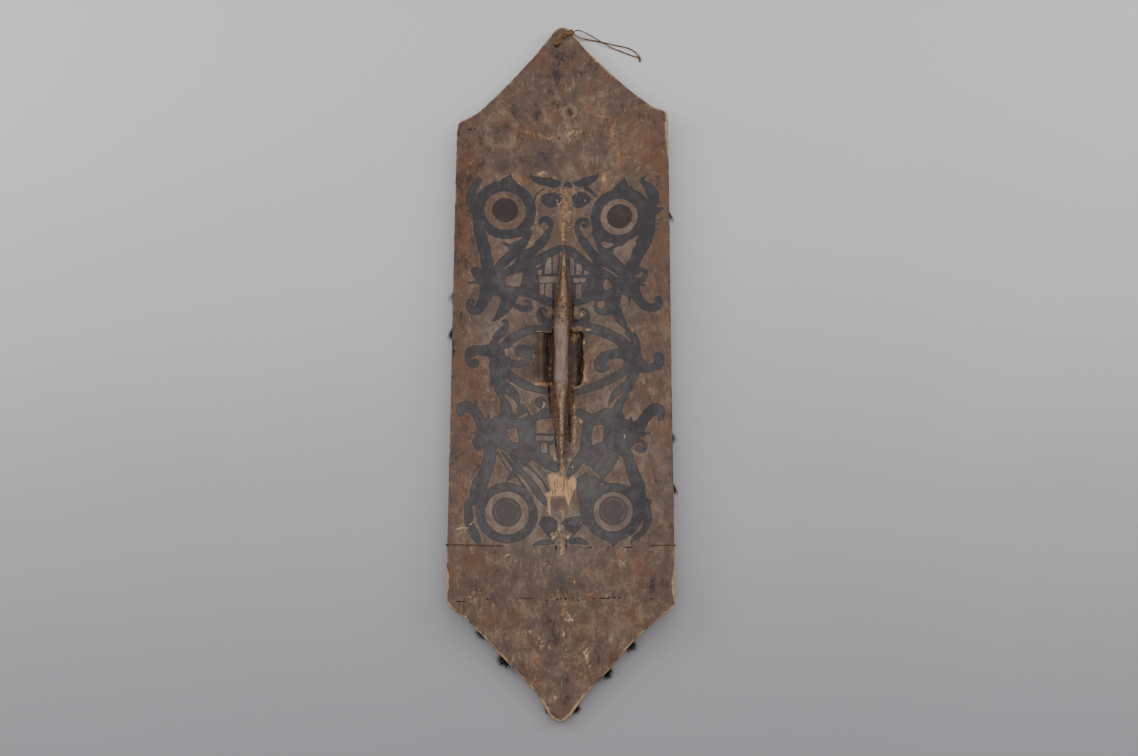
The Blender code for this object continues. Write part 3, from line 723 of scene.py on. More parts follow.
# The painting, in millimetres. Dark strokes: each point is x, y, half width
scrollStrokes = [
    # upper left eye
    [(-101, 262, 55)],
    [(-97, 305, 19), (-95, 318, 9), (-93, 326, 3.5), (-92.8, 334, 0.8)],
    [(-158, 262, 6), (-162, 272, 7.5), (-162, 285, 7.5), (-158, 298, 7), (-151, 308, 6), (-148, 316, 6)],
    [(-150, 257, 7), (-161, 256, 4), (-170, 256, 0.6)],
    [(-146, 262, 12), (-146, 240, 11.5), (-144, 220, 11), (-140, 200, 10.7), (-133, 180, 12),
     (-130, 160, 11.8), (-128, 140, 14)],
    # upper right eye
    [(101, 252, 50), (101, 248, 50)],
    [(118, 262, 45), (118, 240, 45)],
    [(104, 294, 17), (108, 306, 10), (110, 317, 4), (111.2, 324.5, 0.8)],
    [(86, 138, 8)],
    [(157, 264, 9), (162, 278, 9.5), (162, 290, 9.3), (156, 301, 8), (148, 308, 6.5), (143, 315, 3.8),
     (144.5, 321.5, 2.2), (149.5, 321.5, 1.2)],
    [(160, 256, 8), (170, 258, 5.5), (180.5, 262.5, 0.8)],
    [(152, 250, 13), (152, 230, 13), (149, 214, 13.5), (144, 200, 13.5), (135, 180, 11.5), (126, 160, 11),
     (120, 140, 14)],
    # brows, almond eyes and middle leaf at the top
    [(-55, 337, 1), (-55, 329, 2.6), (-49, 324, 5.4), (-38, 321, 7.4), (-24, 320, 9), (-13, 317, 8.5),
     (-4, 318.5, 2.4)],
    [(22, 317, 3), (32, 317, 7), (44, 320, 8.5), (55, 324, 6.5), (62, 328, 3.4), (63.5, 336, 1)],
    [(3, 313, 1), (10, 316, 5), (17, 311, 2.6)],
    [(-31, 306.5, 1), (-40, 301, 1.6), (-46.5, 293, 1.8), (-49, 284, 2)],
    [(42, 308, 3.5), (51, 301, 3), (60, 291, 3)],
    [(-38, 283, 1), (-30, 286, 9), (-20, 286, 13.5), (-10, 290, 9.5), (-5, 293, 6)],
    [(51, 284, 1.6), (42, 285, 9.5), (33, 286, 14), (25, 290, 8.5)],
    [(20, 274.5, 0.8), (28, 273, 3.2), (36, 274, 4)],
    [(-8, 276, 1), (-14, 274, 2.8), (-22, 274, 4)],
    # spirals beside the handle, top
    [(-38, 236, 1.5), (-38, 243, 4), (-32, 248, 6), (-24, 247, 6), (-20, 239, 5), (-24, 227, 6),
     (-30, 212, 7.8), (-40, 200, 9), (-55, 190, 10), (-70, 180, 14)],
    [(36.5, 238.5, 2), (40, 234, 3.6), (45, 238, 3.8), (44, 245, 4), (37, 248, 3.8), (30, 244, 5),
     (28, 232, 6), (32, 218, 7), (40, 204, 8), (52, 190, 10), (64, 178, 12)],
    # limbs from the rings to the knots of the pattern
    [(-62, 222, 10), (-70, 206, 11), (-80, 192, 12), (-88, 178, 12), (-100, 164, 11), (-112, 152, 10)],
    [(62, 222, 10), (70, 205, 10), (74, 190, 10), (84, 176, 14), (98, 164, 12), (108, 150, 12)],
    [(-82, 186, 6), (-90, 192, 4), (-98, 197.5, 2.5), (-107, 200.5, 0.8)],
    [(78, 180, 8), (85, 188, 5), (92, 194, 3.4), (100, 196, 2.4), (108.5, 194, 0.8)],
    # upper left knot
    [(-124, 140, 18), (-122, 126, 20), (-118, 118, 18)],
    [(-108, 158, 14), (-105, 140, 18), (-100, 120, 17)],
    [(-90, 166, 14), (-85, 150, 20), (-82, 125, 20), (-86, 114, 14)],
    [(-64, 170, 17), (-58, 150, 17), (-56, 130, 18), (-60, 114, 12)],
    [(-78, 158, 10), (-60, 172, 12), (-42, 178, 8), (-25, 184, 7), (-10, 192, 6), (-3, 196, 5)],
    [(-70, 112, 8), (-52, 108, 9), (-36, 100, 8.5), (-22, 93, 8), (-14, 92, 8)],
    [(-46, 170, 10), (-46, 150, 10), (-46, 130, 10), (-44, 112, 10)],
    [(-140, 128, 6), (-144, 134, 8), (-150, 144, 9.3)],
    [(-142, 124, 6), (-150, 124.5, 3.2), (-158, 123.3, 2), (-167, 122.5, 0.6)],
    [(-130, 118, 12), (-134, 102, 9.5), (-138, 86, 9.5), (-147, 74, 8.8), (-157, 74, 8), (-161, 83, 6.2),
     (-158, 90, 4.6), (-153.5, 89, 3)],
    [(-122, 110, 4), (-124, 96, 1.8), (-125, 84, 0.6)],
    [(-91, 106, 16), (-95, 91, 12.5), (-101, 77, 9.5), (-109, 66, 6), (-116.5, 58.5, 3), (-123, 54, 0.6)],
    [(-87.5, 86.5, 0.8), (-79, 84, 5), (-68, 80, 6.2), (-58, 82, 6), (-55, 89, 4.2), (-58.5, 94.5, 3),
     (-63.5, 95.5, 2.2), (-66, 92, 1)],
    [(-17, 50, 9), (-27, 58, 9), (-36, 66, 7.8), (-39, 75, 5), (-35, 81.5, 3), (-29, 81, 2.6),
     (-26.5, 76, 2.2)],
    # upper right knot
    [(118, 140, 15), (116, 128, 18), (118, 116, 16)],
    [(98, 158, 12), (100, 140, 16), (98, 118, 16)],
    [(78, 168, 14), (72, 150, 14), (66, 135, 10), (62, 116, 14)],
    [(56, 166, 12), (56, 145, 12), (54, 125, 14), (52, 108, 12)],
    [(2, 196, 5), (14, 190, 8), (28, 182, 9), (42, 170, 9), (54, 160, 12)],
    [(24, 94, 8), (38, 98, 8), (52, 104, 9), (70, 104, 10)],
    [(45, 165, 8), (44, 140, 8), (43, 120, 8), (42, 106, 8)],
    [(130, 128, 8), (140, 131, 7.6), (146, 138, 5), (146, 146, 4.4), (139, 149, 4.4), (134, 145.5, 3.2),
     (135, 141.5, 1.8)],
    [(134, 122, 5), (142, 120.5, 2), (149, 120, 0.6)],
    [(124, 112, 12), (133, 97, 8.5), (143, 84, 8), (155, 78, 7.5), (166, 80, 7.5), (170, 90, 5.4),
     (166, 95, 4.4), (163, 92, 2.5)],
    [(118, 106, 5), (118.7, 94, 1.8), (118.7, 83, 0.6)],
    [(88, 108, 18), (89, 92, 14), (93, 80, 11), (98, 68, 9), (105, 55, 7), (111, 45, 4.6), (117, 38, 3)],
    [(60.5, 94.5, 1), (58.5, 87, 3.2), (62, 79, 5), (71, 74, 6.5), (82, 78, 9)],
    [(28, 52, 9), (41, 60, 6.4), (46, 69, 4.4), (43.5, 78, 3), (37, 81, 2.2), (32, 78, 1.4)],
    # middle left
    [(-110, 26, 10), (-103, 36, 7.8), (-97, 45, 5.2), (-97, 54, 4.6), (-101.5, 56.8, 3), (-105.5, 52, 0.8)],
    [(-18, 43, 8), (-42, 43, 8), (-58, 40, 8), (-74, 33, 8.5), (-88, 24, 8.5), (-102, 12, 12)],
    [(-112, 10, 14), (-110, -10, 15), (-110, -30, 14), (-111, -50, 11)],
    [(-116, 2, 12), (-132, 1, 10), (-145, 1, 9), (-156, -3, 9.5), (-160, -13, 7.5), (-156, -22, 8.5),
     (-149, -22, 8)],
    [(-100, -16, 10), (-86, -20, 7.5), (-72, -20, 7), (-61, -14, 7.5), (-57, -3, 6.8), (-61, 6, 8),
     (-70, 3, 12)],
    [(-104, -32, 8), (-92, -40, 8.5), (-77, -50, 8), (-62, -58, 8), (-45, -64, 6.8), (-24, -67, 6.5)],
    [(-105, -55, 11), (-94, -63, 9.5), (-84, -72, 8.5), (-78, -80, 6), (-75, -88, 3.5), (-75.5, -94, 0.8)],
    [(-112, -52, 9), (-107, -68, 7.5), (-99, -84, 7.5), (-95, -100, 9.5), (-94, -116, 12)],
    [(-116, -58, 5), (-121, -58.6, 2), (-124.5, -58.5, 0.6)],
    [(-36, -88, 9.8)],
    # middle right
    [(114, 34, 5), (122, 26, 9), (124, 12, 12.5), (123, -8, 14), (122, -26, 13)],
    [(30, 49, 8), (55, 44, 9.5), (72, 38, 9.8), (88, 30, 9.6), (103, 20, 10), (114, 8, 12)],
    [(126, -8, 12), (133, -21, 11.5), (143, -30, 8.8), (156, -30, 8), (167, -25, 8), (170, -14, 7.8),
     (166, -9, 6.2), (162, -12, 4)],
    [(114, -6, 10), (98, -2, 9), (84, -4, 9.5), (71, -11, 10), (64, -21, 9), (67, -29, 7.5), (75, -26, 8)],
    [(26, -69, 5.5), (46, -63, 7.4), (62, -58, 8), (78, -51, 8.6), (94, -42, 9), (110, -30, 11)],
    [(122, -25, 12), (124, -42, 9.6), (117, -54, 9), (105, -65, 8.5), (94, -76, 7.8), (87, -87, 5.2),
     (82, -96.5, 1.5)],
    [(121, -64, 2.5), (113, -75, 4.2), (104, -87, 6), (97, -99, 8), (92, -112, 11)],
    # lower left knot
    [(-132, -138, 12), (-141, -119, 9), (-150, -106, 8.8), (-160, -100, 9.5), (-169, -102, 9.6),
     (-173, -109, 6.6), (-170, -117.5, 2)],
    [(-138, -146, 6), (-147, -145.5, 2.6), (-156, -145.5, 0.6)],
    [(-140, -161.5, 11)],
    [(-103, -174, 1.2), (-96, -183, 2.6), (-88, -194, 2.8), (-79, -206, 2.4)],
    [(-143, -170, 6), (-141.5, -179, 0.6)],
    [(-124.5, -104, 0.6), (-125, -112, 1.6), (-125, -121, 4)],
    [(-126, -134, 13), (-124, -150, 15), (-122, -168, 11), (-121, -185, 10.5), (-125, -203, 10.8),
     (-131, -220, 11.5), (-138, -236, 13), (-142, -252, 12)],
    [(-108, -126, 12), (-102, -140, 16), (-100, -158, 14), (-96, -166, 10)],
    [(-94, -112, 12), (-84, -122, 12), (-66, -130, 14), (-58, -150, 16), (-60, -172, 18), (-72, -186, 14)],
    [(-82, -150, 20), (-84, -172, 14)],
    [(-68, -100, 9), (-62, -112, 10), (-50, -118, 8), (-30, -108, 8), (-14, -104, 9)],
    [(-49, -128, 6), (-48, -145, 6), (-46, -165, 9), (-40, -182, 12), (-24, -193, 11), (-10, -200, 10)],
    [(-108, -178, 2.4), (-100, -192.5, 1.6), (-92, -205, 1.5), (-85, -214, 1.8)],
    [(-66, -192, 8), (-75, -207, 6), (-82, -216, 4.6), (-88, -222.5, 2.6), (-94, -228.5, 0.6)],
    [(-60, -196, 2), (-44, -211.5, 1.9), (-31, -226.5, 2), (-22, -241, 2.4)],
    [(-72, -198, 10), (-62, -212, 8), (-50, -228, 7), (-40, -244, 7.5), (-31, -257, 6), (-23, -270, 1)],
    [(-78, -217, 2), (-70, -225, 2.2), (-60, -238, 4)],
    # lower right knot
    [(128, -140, 13), (140, -123, 9.6), (151, -109, 10), (162, -102, 9.6), (169, -107, 8.4),
     (170, -115, 6.6), (168, -122, 4)],
    [(136, -147, 5), (145, -146, 2.4), (152.5, -145.3, 0.6)],
    [(122, -160, 8), (132, -160, 7), (136, -169, 11)],
    [(120, -112, 0.6), (119.5, -120, 2), (119, -128, 5)],
    [(112, -136, 16), (112, -156, 13), (112, -180, 9.5), (117, -200, 10.4), (123, -218, 11),
     (129, -235, 13), (131, -252, 12)],
    [(96, -118, 13), (90, -134, 16), (88, -152, 17), (82, -168, 15)],
    [(80, -122, 8), (63, -122, 6)],
    [(78, -108, 10), (64, -114, 10), (50, -122, 10), (44, -138, 9), (42, -156, 10), (44, -172, 12)],
    [(66, -172, 10), (60, -160, 6), (56, -168, 8)],
    [(32, -106, 8), (44, -112, 8)],
    [(98, -170, 8), (90, -186, 8), (80, -201, 9), (70, -214, 8), (60, -228, 8), (50, -242, 9),
     (42, -258, 10), (40, -276, 8), (44, -294, 8)],
    [(40, -180, 12), (28, -192, 9), (20, -204, 8), (12, -214, 4)],
    [(42, -196, 1.6), (52, -211.5, 1.7), (64, -223.5, 1.8), (78, -230.5, 1.4)],
    [(36, -214, 6), (34, -232, 8), (34, -250, 7)],
    # lower left eye
    [(-91, -282, 52)],
    [(-148, -262, 9), (-156, -271, 7), (-155, -290, 7.4), (-153, -305, 7.6), (-146, -318, 7.4),
     (-140, -328, 6.4), (-138, -333.5, 3)],
    [(-38.5, -297, 1), (-30, -308, 1.8), (-21, -319, 2.2), (-15, -327, 3)],
    [(-48.5, -337, 0.6), (-38, -332, 3.8), (-26, -331, 4.6), (-16, -330, 4), (-9, -325.5, 1.6),
     (-2, -320.5, 1)],
    [(-36, -295, 1), (-28, -290, 2.5), (-18, -289.5, 3), (-9, -294, 2.2), (-5.5, -299, 0.8)],
    [(-18, -304, 8.6)],
    # lower right eye
    [(88, -280, 50)],
    [(88, -322, 13), (88, -331, 5), (88, -340, 0.6)],
    [(138, -266, 9), (144, -282, 8.5), (144, -298, 8.5), (137, -312, 7), (128, -321, 5.4),
     (115.5, -334, 0.8)],
    [(138, -262, 6), (148, -264, 5)],
    [(0.5, -299.5, 1), (8, -293, 2.6), (18, -289.5, 3), (31, -286.5, 1)],
    [(15, -301, 9.4)],
    [(40, -292, 1.2), (30, -306.5, 1.8), (20, -318.5, 2), (11.5, -327, 2), (3, -324.5, 1.2),
     (-2, -320.5, 1)],
    [(8, -327, 1.5), (18, -328, 5), (30, -327, 5.4), (40, -331, 4), (49, -334, 0.8)],
]

# Light strokes over them
gapStrokes = [
    # rings of the eyes
    [(-101, 261, 36.3)],
    [(101, 251, 32.4), (101, 248, 32.4)],
    [(-91, -282, 36.8)],
    [(88, -280, 33), (88, -279, 33)],
    # upper left
    [(-133, 311, 4), (-142, 304, 3.2), (-149, 295, 3), (-152.2, 286, 1.8), (-151.6, 278.5, 0.5)],
    [(-135.5, 220.5, 0.5), (-127, 209, 3.4)],
    [(-43, 232, 3), (-46, 214, 3.2), (-53, 201, 3), (-61, 194.5, 2.4), (-69.5, 188.5, 0.6)],
    [(-24, 236, 1), (-27, 233.5, 1.8), (-32, 227.5, 2.4), (-37, 222, 3)],
    [(-10, 203.5, 2), (-19, 199, 2.2), (-29, 193, 2.8), (-39, 185.5, 2.2), (-49, 178, 0.6)],
    [(-106, 150.5, 0.4), (-97, 155, 2), (-89, 162, 2.5), (-82, 170.5, 1.6), (-79, 174, 0.3)],
    [(-159, 129, 1.2), (-153.5, 129.5, 0.6)],
    [(-14, 84, 2), (-16.8, 76, 2.8), (-20.5, 69.6, 2.6), (-27, 68.8, 2.2), (-31, 72.5, 1.5)],
    # upper right
    [(131, 304, 5), (140, 297, 3.6), (148, 287.5, 2.2), (152.5, 277, 0.6)],
    [(136, 213.5, 0.6), (127, 205, 3)],
    [(46, 228, 3), (49, 212, 3.2), (56, 197.5, 2.4), (63, 187, 1.8), (69, 179, 0.5)],
    [(34, 242.5, 0.8), (33.5, 234, 2), (37, 226, 2.6), (41, 216, 2.8)],
    [(18, 206, 2), (28, 193, 3), (38, 183, 2.7), (48, 173.5, 2.4), (57, 164, 1)],
    [(70, 157, 0.8), (80, 152, 2), (90, 144.5, 2), (99, 137, 1.4), (101, 135.5, 0.4)],
    [(128, 138, 1.4), (135.5, 136, 1.6), (140.8, 139, 1.5), (139.5, 143.2, 0.8)],
    # middle left
    [(-113, 13.5, 0.4), (-106, 19, 1.8), (-99.5, 26, 2), (-95, 31, 2.2)],
    [(-96, 5, 3), (-94, -2, 4), (-88, -8, 3.4), (-79, -12, 2.4), (-70.5, -11.3, 2), (-65, -8, 1.8),
     (-62.8, -3, 1.2)],
    [(-129, -24, 3.6), (-137.5, -15, 2.2), (-146, -11.5, 1.5), (-152.8, -13, 1.5), (-154.4, -18, 1.2),
     (-154, -21, 0.4)],
    [(-100, -46.3, 0.4), (-93, -51.5, 1.5), (-84, -57.8, 1.7), (-76, -65, 2.2), (-69, -74, 4)],
    [(-100.5, -74, 0.5), (-93, -81, 2.2), (-86, -89, 3.2), (-80, -97, 2.4), (-77, -101, 0.8)],
    [(-39, -84, 1), (-35, -79.8, 1.4), (-29, -79, 1)],
    [(-26.6, -86, 1), (-27.8, -92, 1.6), (-33, -97.8, 1.6), (-38.5, -99.6, 0.7)],
    # middle right
    [(93, 43, 3.4), (104, 34.8, 2), (113, 26.2, 1.5), (124, 13.5, 0.5)],
    [(62.5, -19, 0.6), (64.5, -26, 1.4), (69, -32, 0.8)],
    [(116, -37, 0.5), (109.5, -47, 2.6), (102, -54.5, 2.6), (92, -61.5, 2.4), (83, -70, 2.6)],
    [(111.5, -69.5, 0.6), (101, -77.5, 1.7), (92, -86, 1.9), (83.5, -95.5, 1.2)],
    # lower left
    [(-106, -179, 0.5), (-98, -188, 1.6), (-90, -198.5, 1.8), (-84, -207, 1.0)],
    [(-103.5, -171, 0.7), (-95, -178, 1.5), (-87, -187.5, 1.3), (-81, -195, 0.5)],
    [(-82, -177, 0.8), (-77, -180, 1.9), (-74, -183, 0.6)],
    [(-64, -203.5, 2.4), (-54, -212, 3.6), (-42, -224, 4), (-33, -236, 4), (-26, -248, 3.6)],
    [(-77, -213.5, 1), (-68, -221.5, 2.6), (-58, -234.5, 2.8), (-48, -250, 3.2), (-41, -265, 2.6),
     (-37, -280, 2), (-36, -293, 2)],
    [(-143.5, -288, 0.4), (-143, -300, 1.1), (-138, -313, 1.5), (-129.5, -325, 1.9)],
    [(-20, -298, 1.4), (-13, -298.5, 1)],
    [(-131, -166, 0.4), (-133, -158, 0.9), (-138.5, -155.5, 0.9), (-143.5, -159, 0.9), (-144, -165.5, 0.8),
     (-139.5, -168.5, 0.4)],
    # lower right
    [(54, -202, 0.5), (62, -191, 0.8), (71, -180, 0.5)],
    [(65, -208, 0.5), (74, -195, 0.8), (83, -180, 0.5)],
    [(120, -173, 3), (124.5, -166.8, 1.9), (130.5, -163.3, 1.5), (136, -165, 1.3), (137.8, -170, 1),
     (137, -173, 0.4)],
    [(138.5, -291, 0.5), (137, -300, 1.7), (132, -310, 1.9), (125, -318, 1.2), (121, -322, 0.5)],
    [(45, -200, 1.4), (54, -209, 2.2), (66, -221, 2)],
    [(12, -296, 1), (19, -297, 1.4)],
]

# Light areas with corners, each a closed outline
gapAreas = [
    [(-127, 206), (-128, 199), (-124.5, 182.5), (-119.5, 163), (-118.5, 153.5), (-115.5, 161.5),
     (-105, 174.5), (-98.5, 181.5), (-91.5, 186.5), (-98, 193), (-108, 198), (-104, 203), (-92, 201),
     (-78, 205), (-66, 215), (-80, 211), (-100, 206.5), (-116, 209)],
    [(-99.5, 135.5), (-84, 143.5), (-69, 146.5), (-71, 130), (-73.5, 119.5), (-85, 120.5), (-97, 122.5),
     (-98, 129)],
    [(-15.5, 181), (-6, 184), (-6.5, 166), (-8, 149), (-15.5, 148)],
    [(-25, 176), (-19, 177.5), (-18.5, 162), (-18, 147.5), (-30.5, 145.5), (-29.5, 160)],
    [(-47.5, 159), (-36, 166.5), (-36, 161), (-45, 155.5)],
    [(-43, 153), (-34.5, 154.5), (-34.5, 143.5), (-42, 143)],
    [(-41, 141), (-9, 142), (-8, 131), (-39, 129.5)],
    [(-39, 127), (-31, 127.5), (-31.5, 107), (-37.5, 109)],
    [(-28.5, 127), (-17, 127.5), (-17.5, 102), (-28.5, 105)],
    [(106, 190), (112, 199), (118, 204), (127, 207), (132, 199), (123.5, 184), (116.5, 166.5), (111.5, 156),
     (103.5, 166.5), (95.5, 176), (88.5, 183.5), (97, 188.5)],
    [(66, 203), (72, 195.5), (80, 191), (87, 195.5), (95, 199.5), (84, 201), (74, 205)],
    [(72.5, 132.5), (80, 129), (88, 126), (91, 120), (84, 116), (75.5, 112.5), (72.5, 122)],
    [(14, 180), (21, 172), (21.5, 144), (15, 144)],
    [(26, 166), (33, 163), (37, 153), (33, 144.5), (25.5, 144.5)],
    [(39.5, 153), (47.5, 149), (47, 143.5), (39, 144)],
    [(19, 139), (43, 138), (42, 131), (20, 130)],
    [(24, 127), (34, 127), (34.5, 101), (25, 100)],
    [(81.5, -11.5), (94, -14.5), (108, -23.5), (100.5, -30.5), (90, -36.5), (82, -38), (83, -26)],
    [(-91.5, -137.5), (-77, -133.5), (-71.5, -160), (-82.5, -160), (-91.5, -148)],
    [(-79, -118), (-70, -112.5), (-57, -107), (-60, -113.5), (-68, -117.5)],
    [(-55, -86), (-48, -88), (-46, -98), (-41, -104), (-42, -110), (-54, -111), (-53, -104), (-57, -97)],
    [(-43, -120), (-14.5, -114), (-13, -141.5), (-43.5, -142)],
    [(-44, -147), (-13, -146.5), (-13, -155), (-43.5, -155.5)],
    [(-35.5, -159), (-24, -158.5), (-24.5, -176), (-34, -177)],
    [(-20, -162), (-12, -161), (-8, -172), (-6, -184), (-3.5, -194), (-9, -191), (-16, -182), (-20, -174)],
    [(-110, -180), (-100, -196), (-88, -213), (-92, -222), (-98, -230), (-112, -230), (-124, -236),
     (-117, -213), (-112, -196)],
    [(-58, -190), (-45, -193), (-33, -199), (-25, -211), (-20, -224), (-22, -236), (-32, -222),
     (-44, -208)],
    [(63.5, -132), (71.5, -136), (70.5, -156), (52.5, -164), (54, -152), (58, -142.5)],
    [(103.5, -182.5), (91.5, -200), (80.5, -214.5), (74, -226), (88, -229), (106, -232), (119.5, -239),
     (113, -220), (107.5, -200)],
    [(39, -196), (33, -202), (27, -211), (24, -222), (36, -214), (44, -208), (49, -212)],
]

# The discs of the four eyes
eyeDiscs = [
    [(-100.7, 261.5, 23)],
    [(102, 251, 22.3), (102, 249.5, 22.3)],
    [(-91.3, -280.7, 25)],
    [(88.3, -278.5, 24.4), (88.3, -277.3, 24.4)],
]

# Dark grounds of the rows of small light cells beside the handle
darkAreas = [
    [(-44, 170), (-3, 192), (-3, 95), (-40, 105)],
    [(10, 190), (46, 168), (46, 100), (20, 96), (10, 100)],
    [(-46, -112), (-12, -108), (-3, -196), (-46, -190)],
    # faded limb in the lower right
    [(40, -197), (66, -169), (99, -175), (96, -185), (71, -223), (50, -209)],
    [(27, -219), (41, -209), (58, -223), (63, -237), (50, -258), (31, -261), (27, -244)],
    # almond eyes of the small face
    [(-37, -287), (-20, -289), (-8, -297), (-6, -308), (-13, -314), (-20, -316), (-30, -307), (-36, -296)],
    [(4, -298), (12, -290), (23, -286), (33, -287), (34, -293), (28, -305), (22, -314), (15, -313),
     (7, -308)],
]

# A mark's distance is worked out up to this far from its edge, in millimetres, and is farOff beyond
markReach = 8.0
farOff = 99.0


# A stroke's points joined by a smooth line, its half width carried along
def smoothStroke(points):
    rows = np.array(points, float)
    if len(rows) < 3:
        return rows if len(rows) > 1 else np.vstack([rows, rows])
    fine = np.array(curveThrough(rows, 6))
    fine[:, 2] = np.maximum(fine[:, 2], 0.2)
    return fine


# Distance from points to the edge of a set of strokes, below 0 inside them
def strokeField(x, y, strokes):
    field = np.full(x.shape, farOff)
    for stroke in strokes:
        line = smoothStroke(stroke)
        for a, b in zip(line, line[1:]):
            margin = max(a[2], b[2]) + markReach
            near = (x > min(a[0], b[0]) - margin) & (x < max(a[0], b[0]) + margin)
            near &= (y > min(a[1], b[1]) - margin) & (y < max(a[1], b[1]) + margin)
            if not near.any():
                continue
            dx, dy = b[0] - a[0], b[1] - a[1]
            span = dx * dx + dy * dy
            px, py = x[near] - a[0], y[near] - a[1]
            t = np.clip((px * dx + py * dy) / span, 0, 1) if span > 1e-9 else 0 * px
            away = np.hypot(px - t * dx, py - t * dy) - (a[2] + t * (b[2] - a[2]))
            field[near] = np.minimum(field[near], away)
    return field


# The same for closed outlines with corners
def areaField(x, y, areas):
    field = np.full(x.shape, farOff)
    for area in areas:
        corners = np.array(area, float)
        low = corners.min(0) - markReach
        high = corners.max(0) + markReach
        near = (x > low[0]) & (x < high[0]) & (y > low[1]) & (y < high[1])
        if not near.any():
            continue
        px, py = x[near], y[near]
        away = np.full(px.shape, farOff)
        inside = np.zeros(px.shape, bool)
        for a, b in zip(corners, np.roll(corners, -1, 0)):
            dx, dy = b - a
            t = np.clip(((px - a[0]) * dx + (py - a[1]) * dy) / (dx * dx + dy * dy), 0, 1)
            away = np.minimum(away, np.hypot(px - a[0] - t * dx, py - a[1] - t * dy))
            inside ^= ((a[1] > py) != (b[1] > py)) & (px < dx * (py - a[1]) / (dy + 1e-12) + a[0])
        away = np.where(inside, -away, away)
        field[near] = np.minimum(field[near], away)
    return field


# Sum of soft spots: x, y, reach across, reach along, strength
def spotField(x, y, spots):
    field = np.zeros(x.shape)
    for spotX, spotY, across, along, strength in spots:
        field += strength * np.exp(-((x - spotX) / across) ** 2 - ((y - spotY) / along) ** 2)
    return field


# Sum of soft rings round spots: x, y, reach across, reach along, strength
def haloField(x, y, spots):
    field = np.zeros(x.shape)
    for spotX, spotY, across, along, strength in spots:
        away = np.hypot((x - spotX) / across, (y - spotY) / along)
        field += strength * np.exp(-((away - 1) / 0.28) ** 2)
    return field


# Marks of age on the handle side, with some painted shade and highlight among them, in millimetres: x, y,
# reach across, reach along, strength.
# Wood that is redder (above 0) or greyer (below 0)
redSpots = (
    (0, -385, 190, 50, -0.35), (176, -230, 26, 100, -0.45), (-182, 30, 22, 80, -0.2),
    (-174, 260, 20, 110, 1.0), (179, 300, 16, 110, 0.9), (136, 377, 34, 36, 1.0), (-75, 322, 28, 16, 1.0),
    (-69, 415, 22, 12, 1.2), (-39, 552, 24, 20, 0.7), (19, 553, 14, 12, 0.7), (88, 520, 26, 22, 0.7),
    (150, 440, 30, 24, 0.5), (-155, 345, 28, 26, 0.6), (60, 440, 40, 30, 0.4), (101, 361, 10, 40, 0.6),
    (-140, -371, 42, 24, 0.7), (-181, -383, 9, 7, 1.4), (138, -374, 42, 30, 0.8), (-95, -455, 34, 18, 0.6),
    (101, -369, 14, 26, 0.6), (45, -419, 26, 9, 0.7), (-41, -524, 14, 20, 0.9), (129, -455, 10, 28, 0.9),
    (38, -548, 30, 18, 0.6), (-48, -564, 20, 14, 0.6), (8, -440, 14, 20, 0.6), (35, -480, 26, 24, 0.4),
    (-175, 20, 18, 90, 0.6), (175, 60, 18, 90, 0.5), (-150, -60, 30, 60, 0.7), (165, -160, 22, 60, 0.9),
    (-165, -180, 24, 90, 0.5), (135, 200, 20, 40, 0.6), (172, 170, 14, 60, 0.6), (-32, -94, 12, 10, 0.8),
    (-18, -80, 5, 24, 0.8), (-10, -120, 5, 50, 0.7), (-29, -128, 13, 15, 1.2), (-40, 5, 10, 24, 0.4),
    (60, -10, 18, 14, 0.4), (0, 300, 60, 40, -0.4), (0, 50, 110, 140, -0.45), (0, -150, 110, 120, -0.3),
    (0, -290, 120, 50, -0.45), (-30, -400, 50, 40, -0.3), (-106, 345, 26, 18, -0.9),
    (-39, 361, 28, 22, -1.0), (-12, 530, 16, 22, -0.8), (-12, 572, 12, 14, -0.7), (28, 385, 40, 20, -0.5),
    (10, -500, 16, 30, -0.6), (8, -552, 16, 14, -0.7),
)
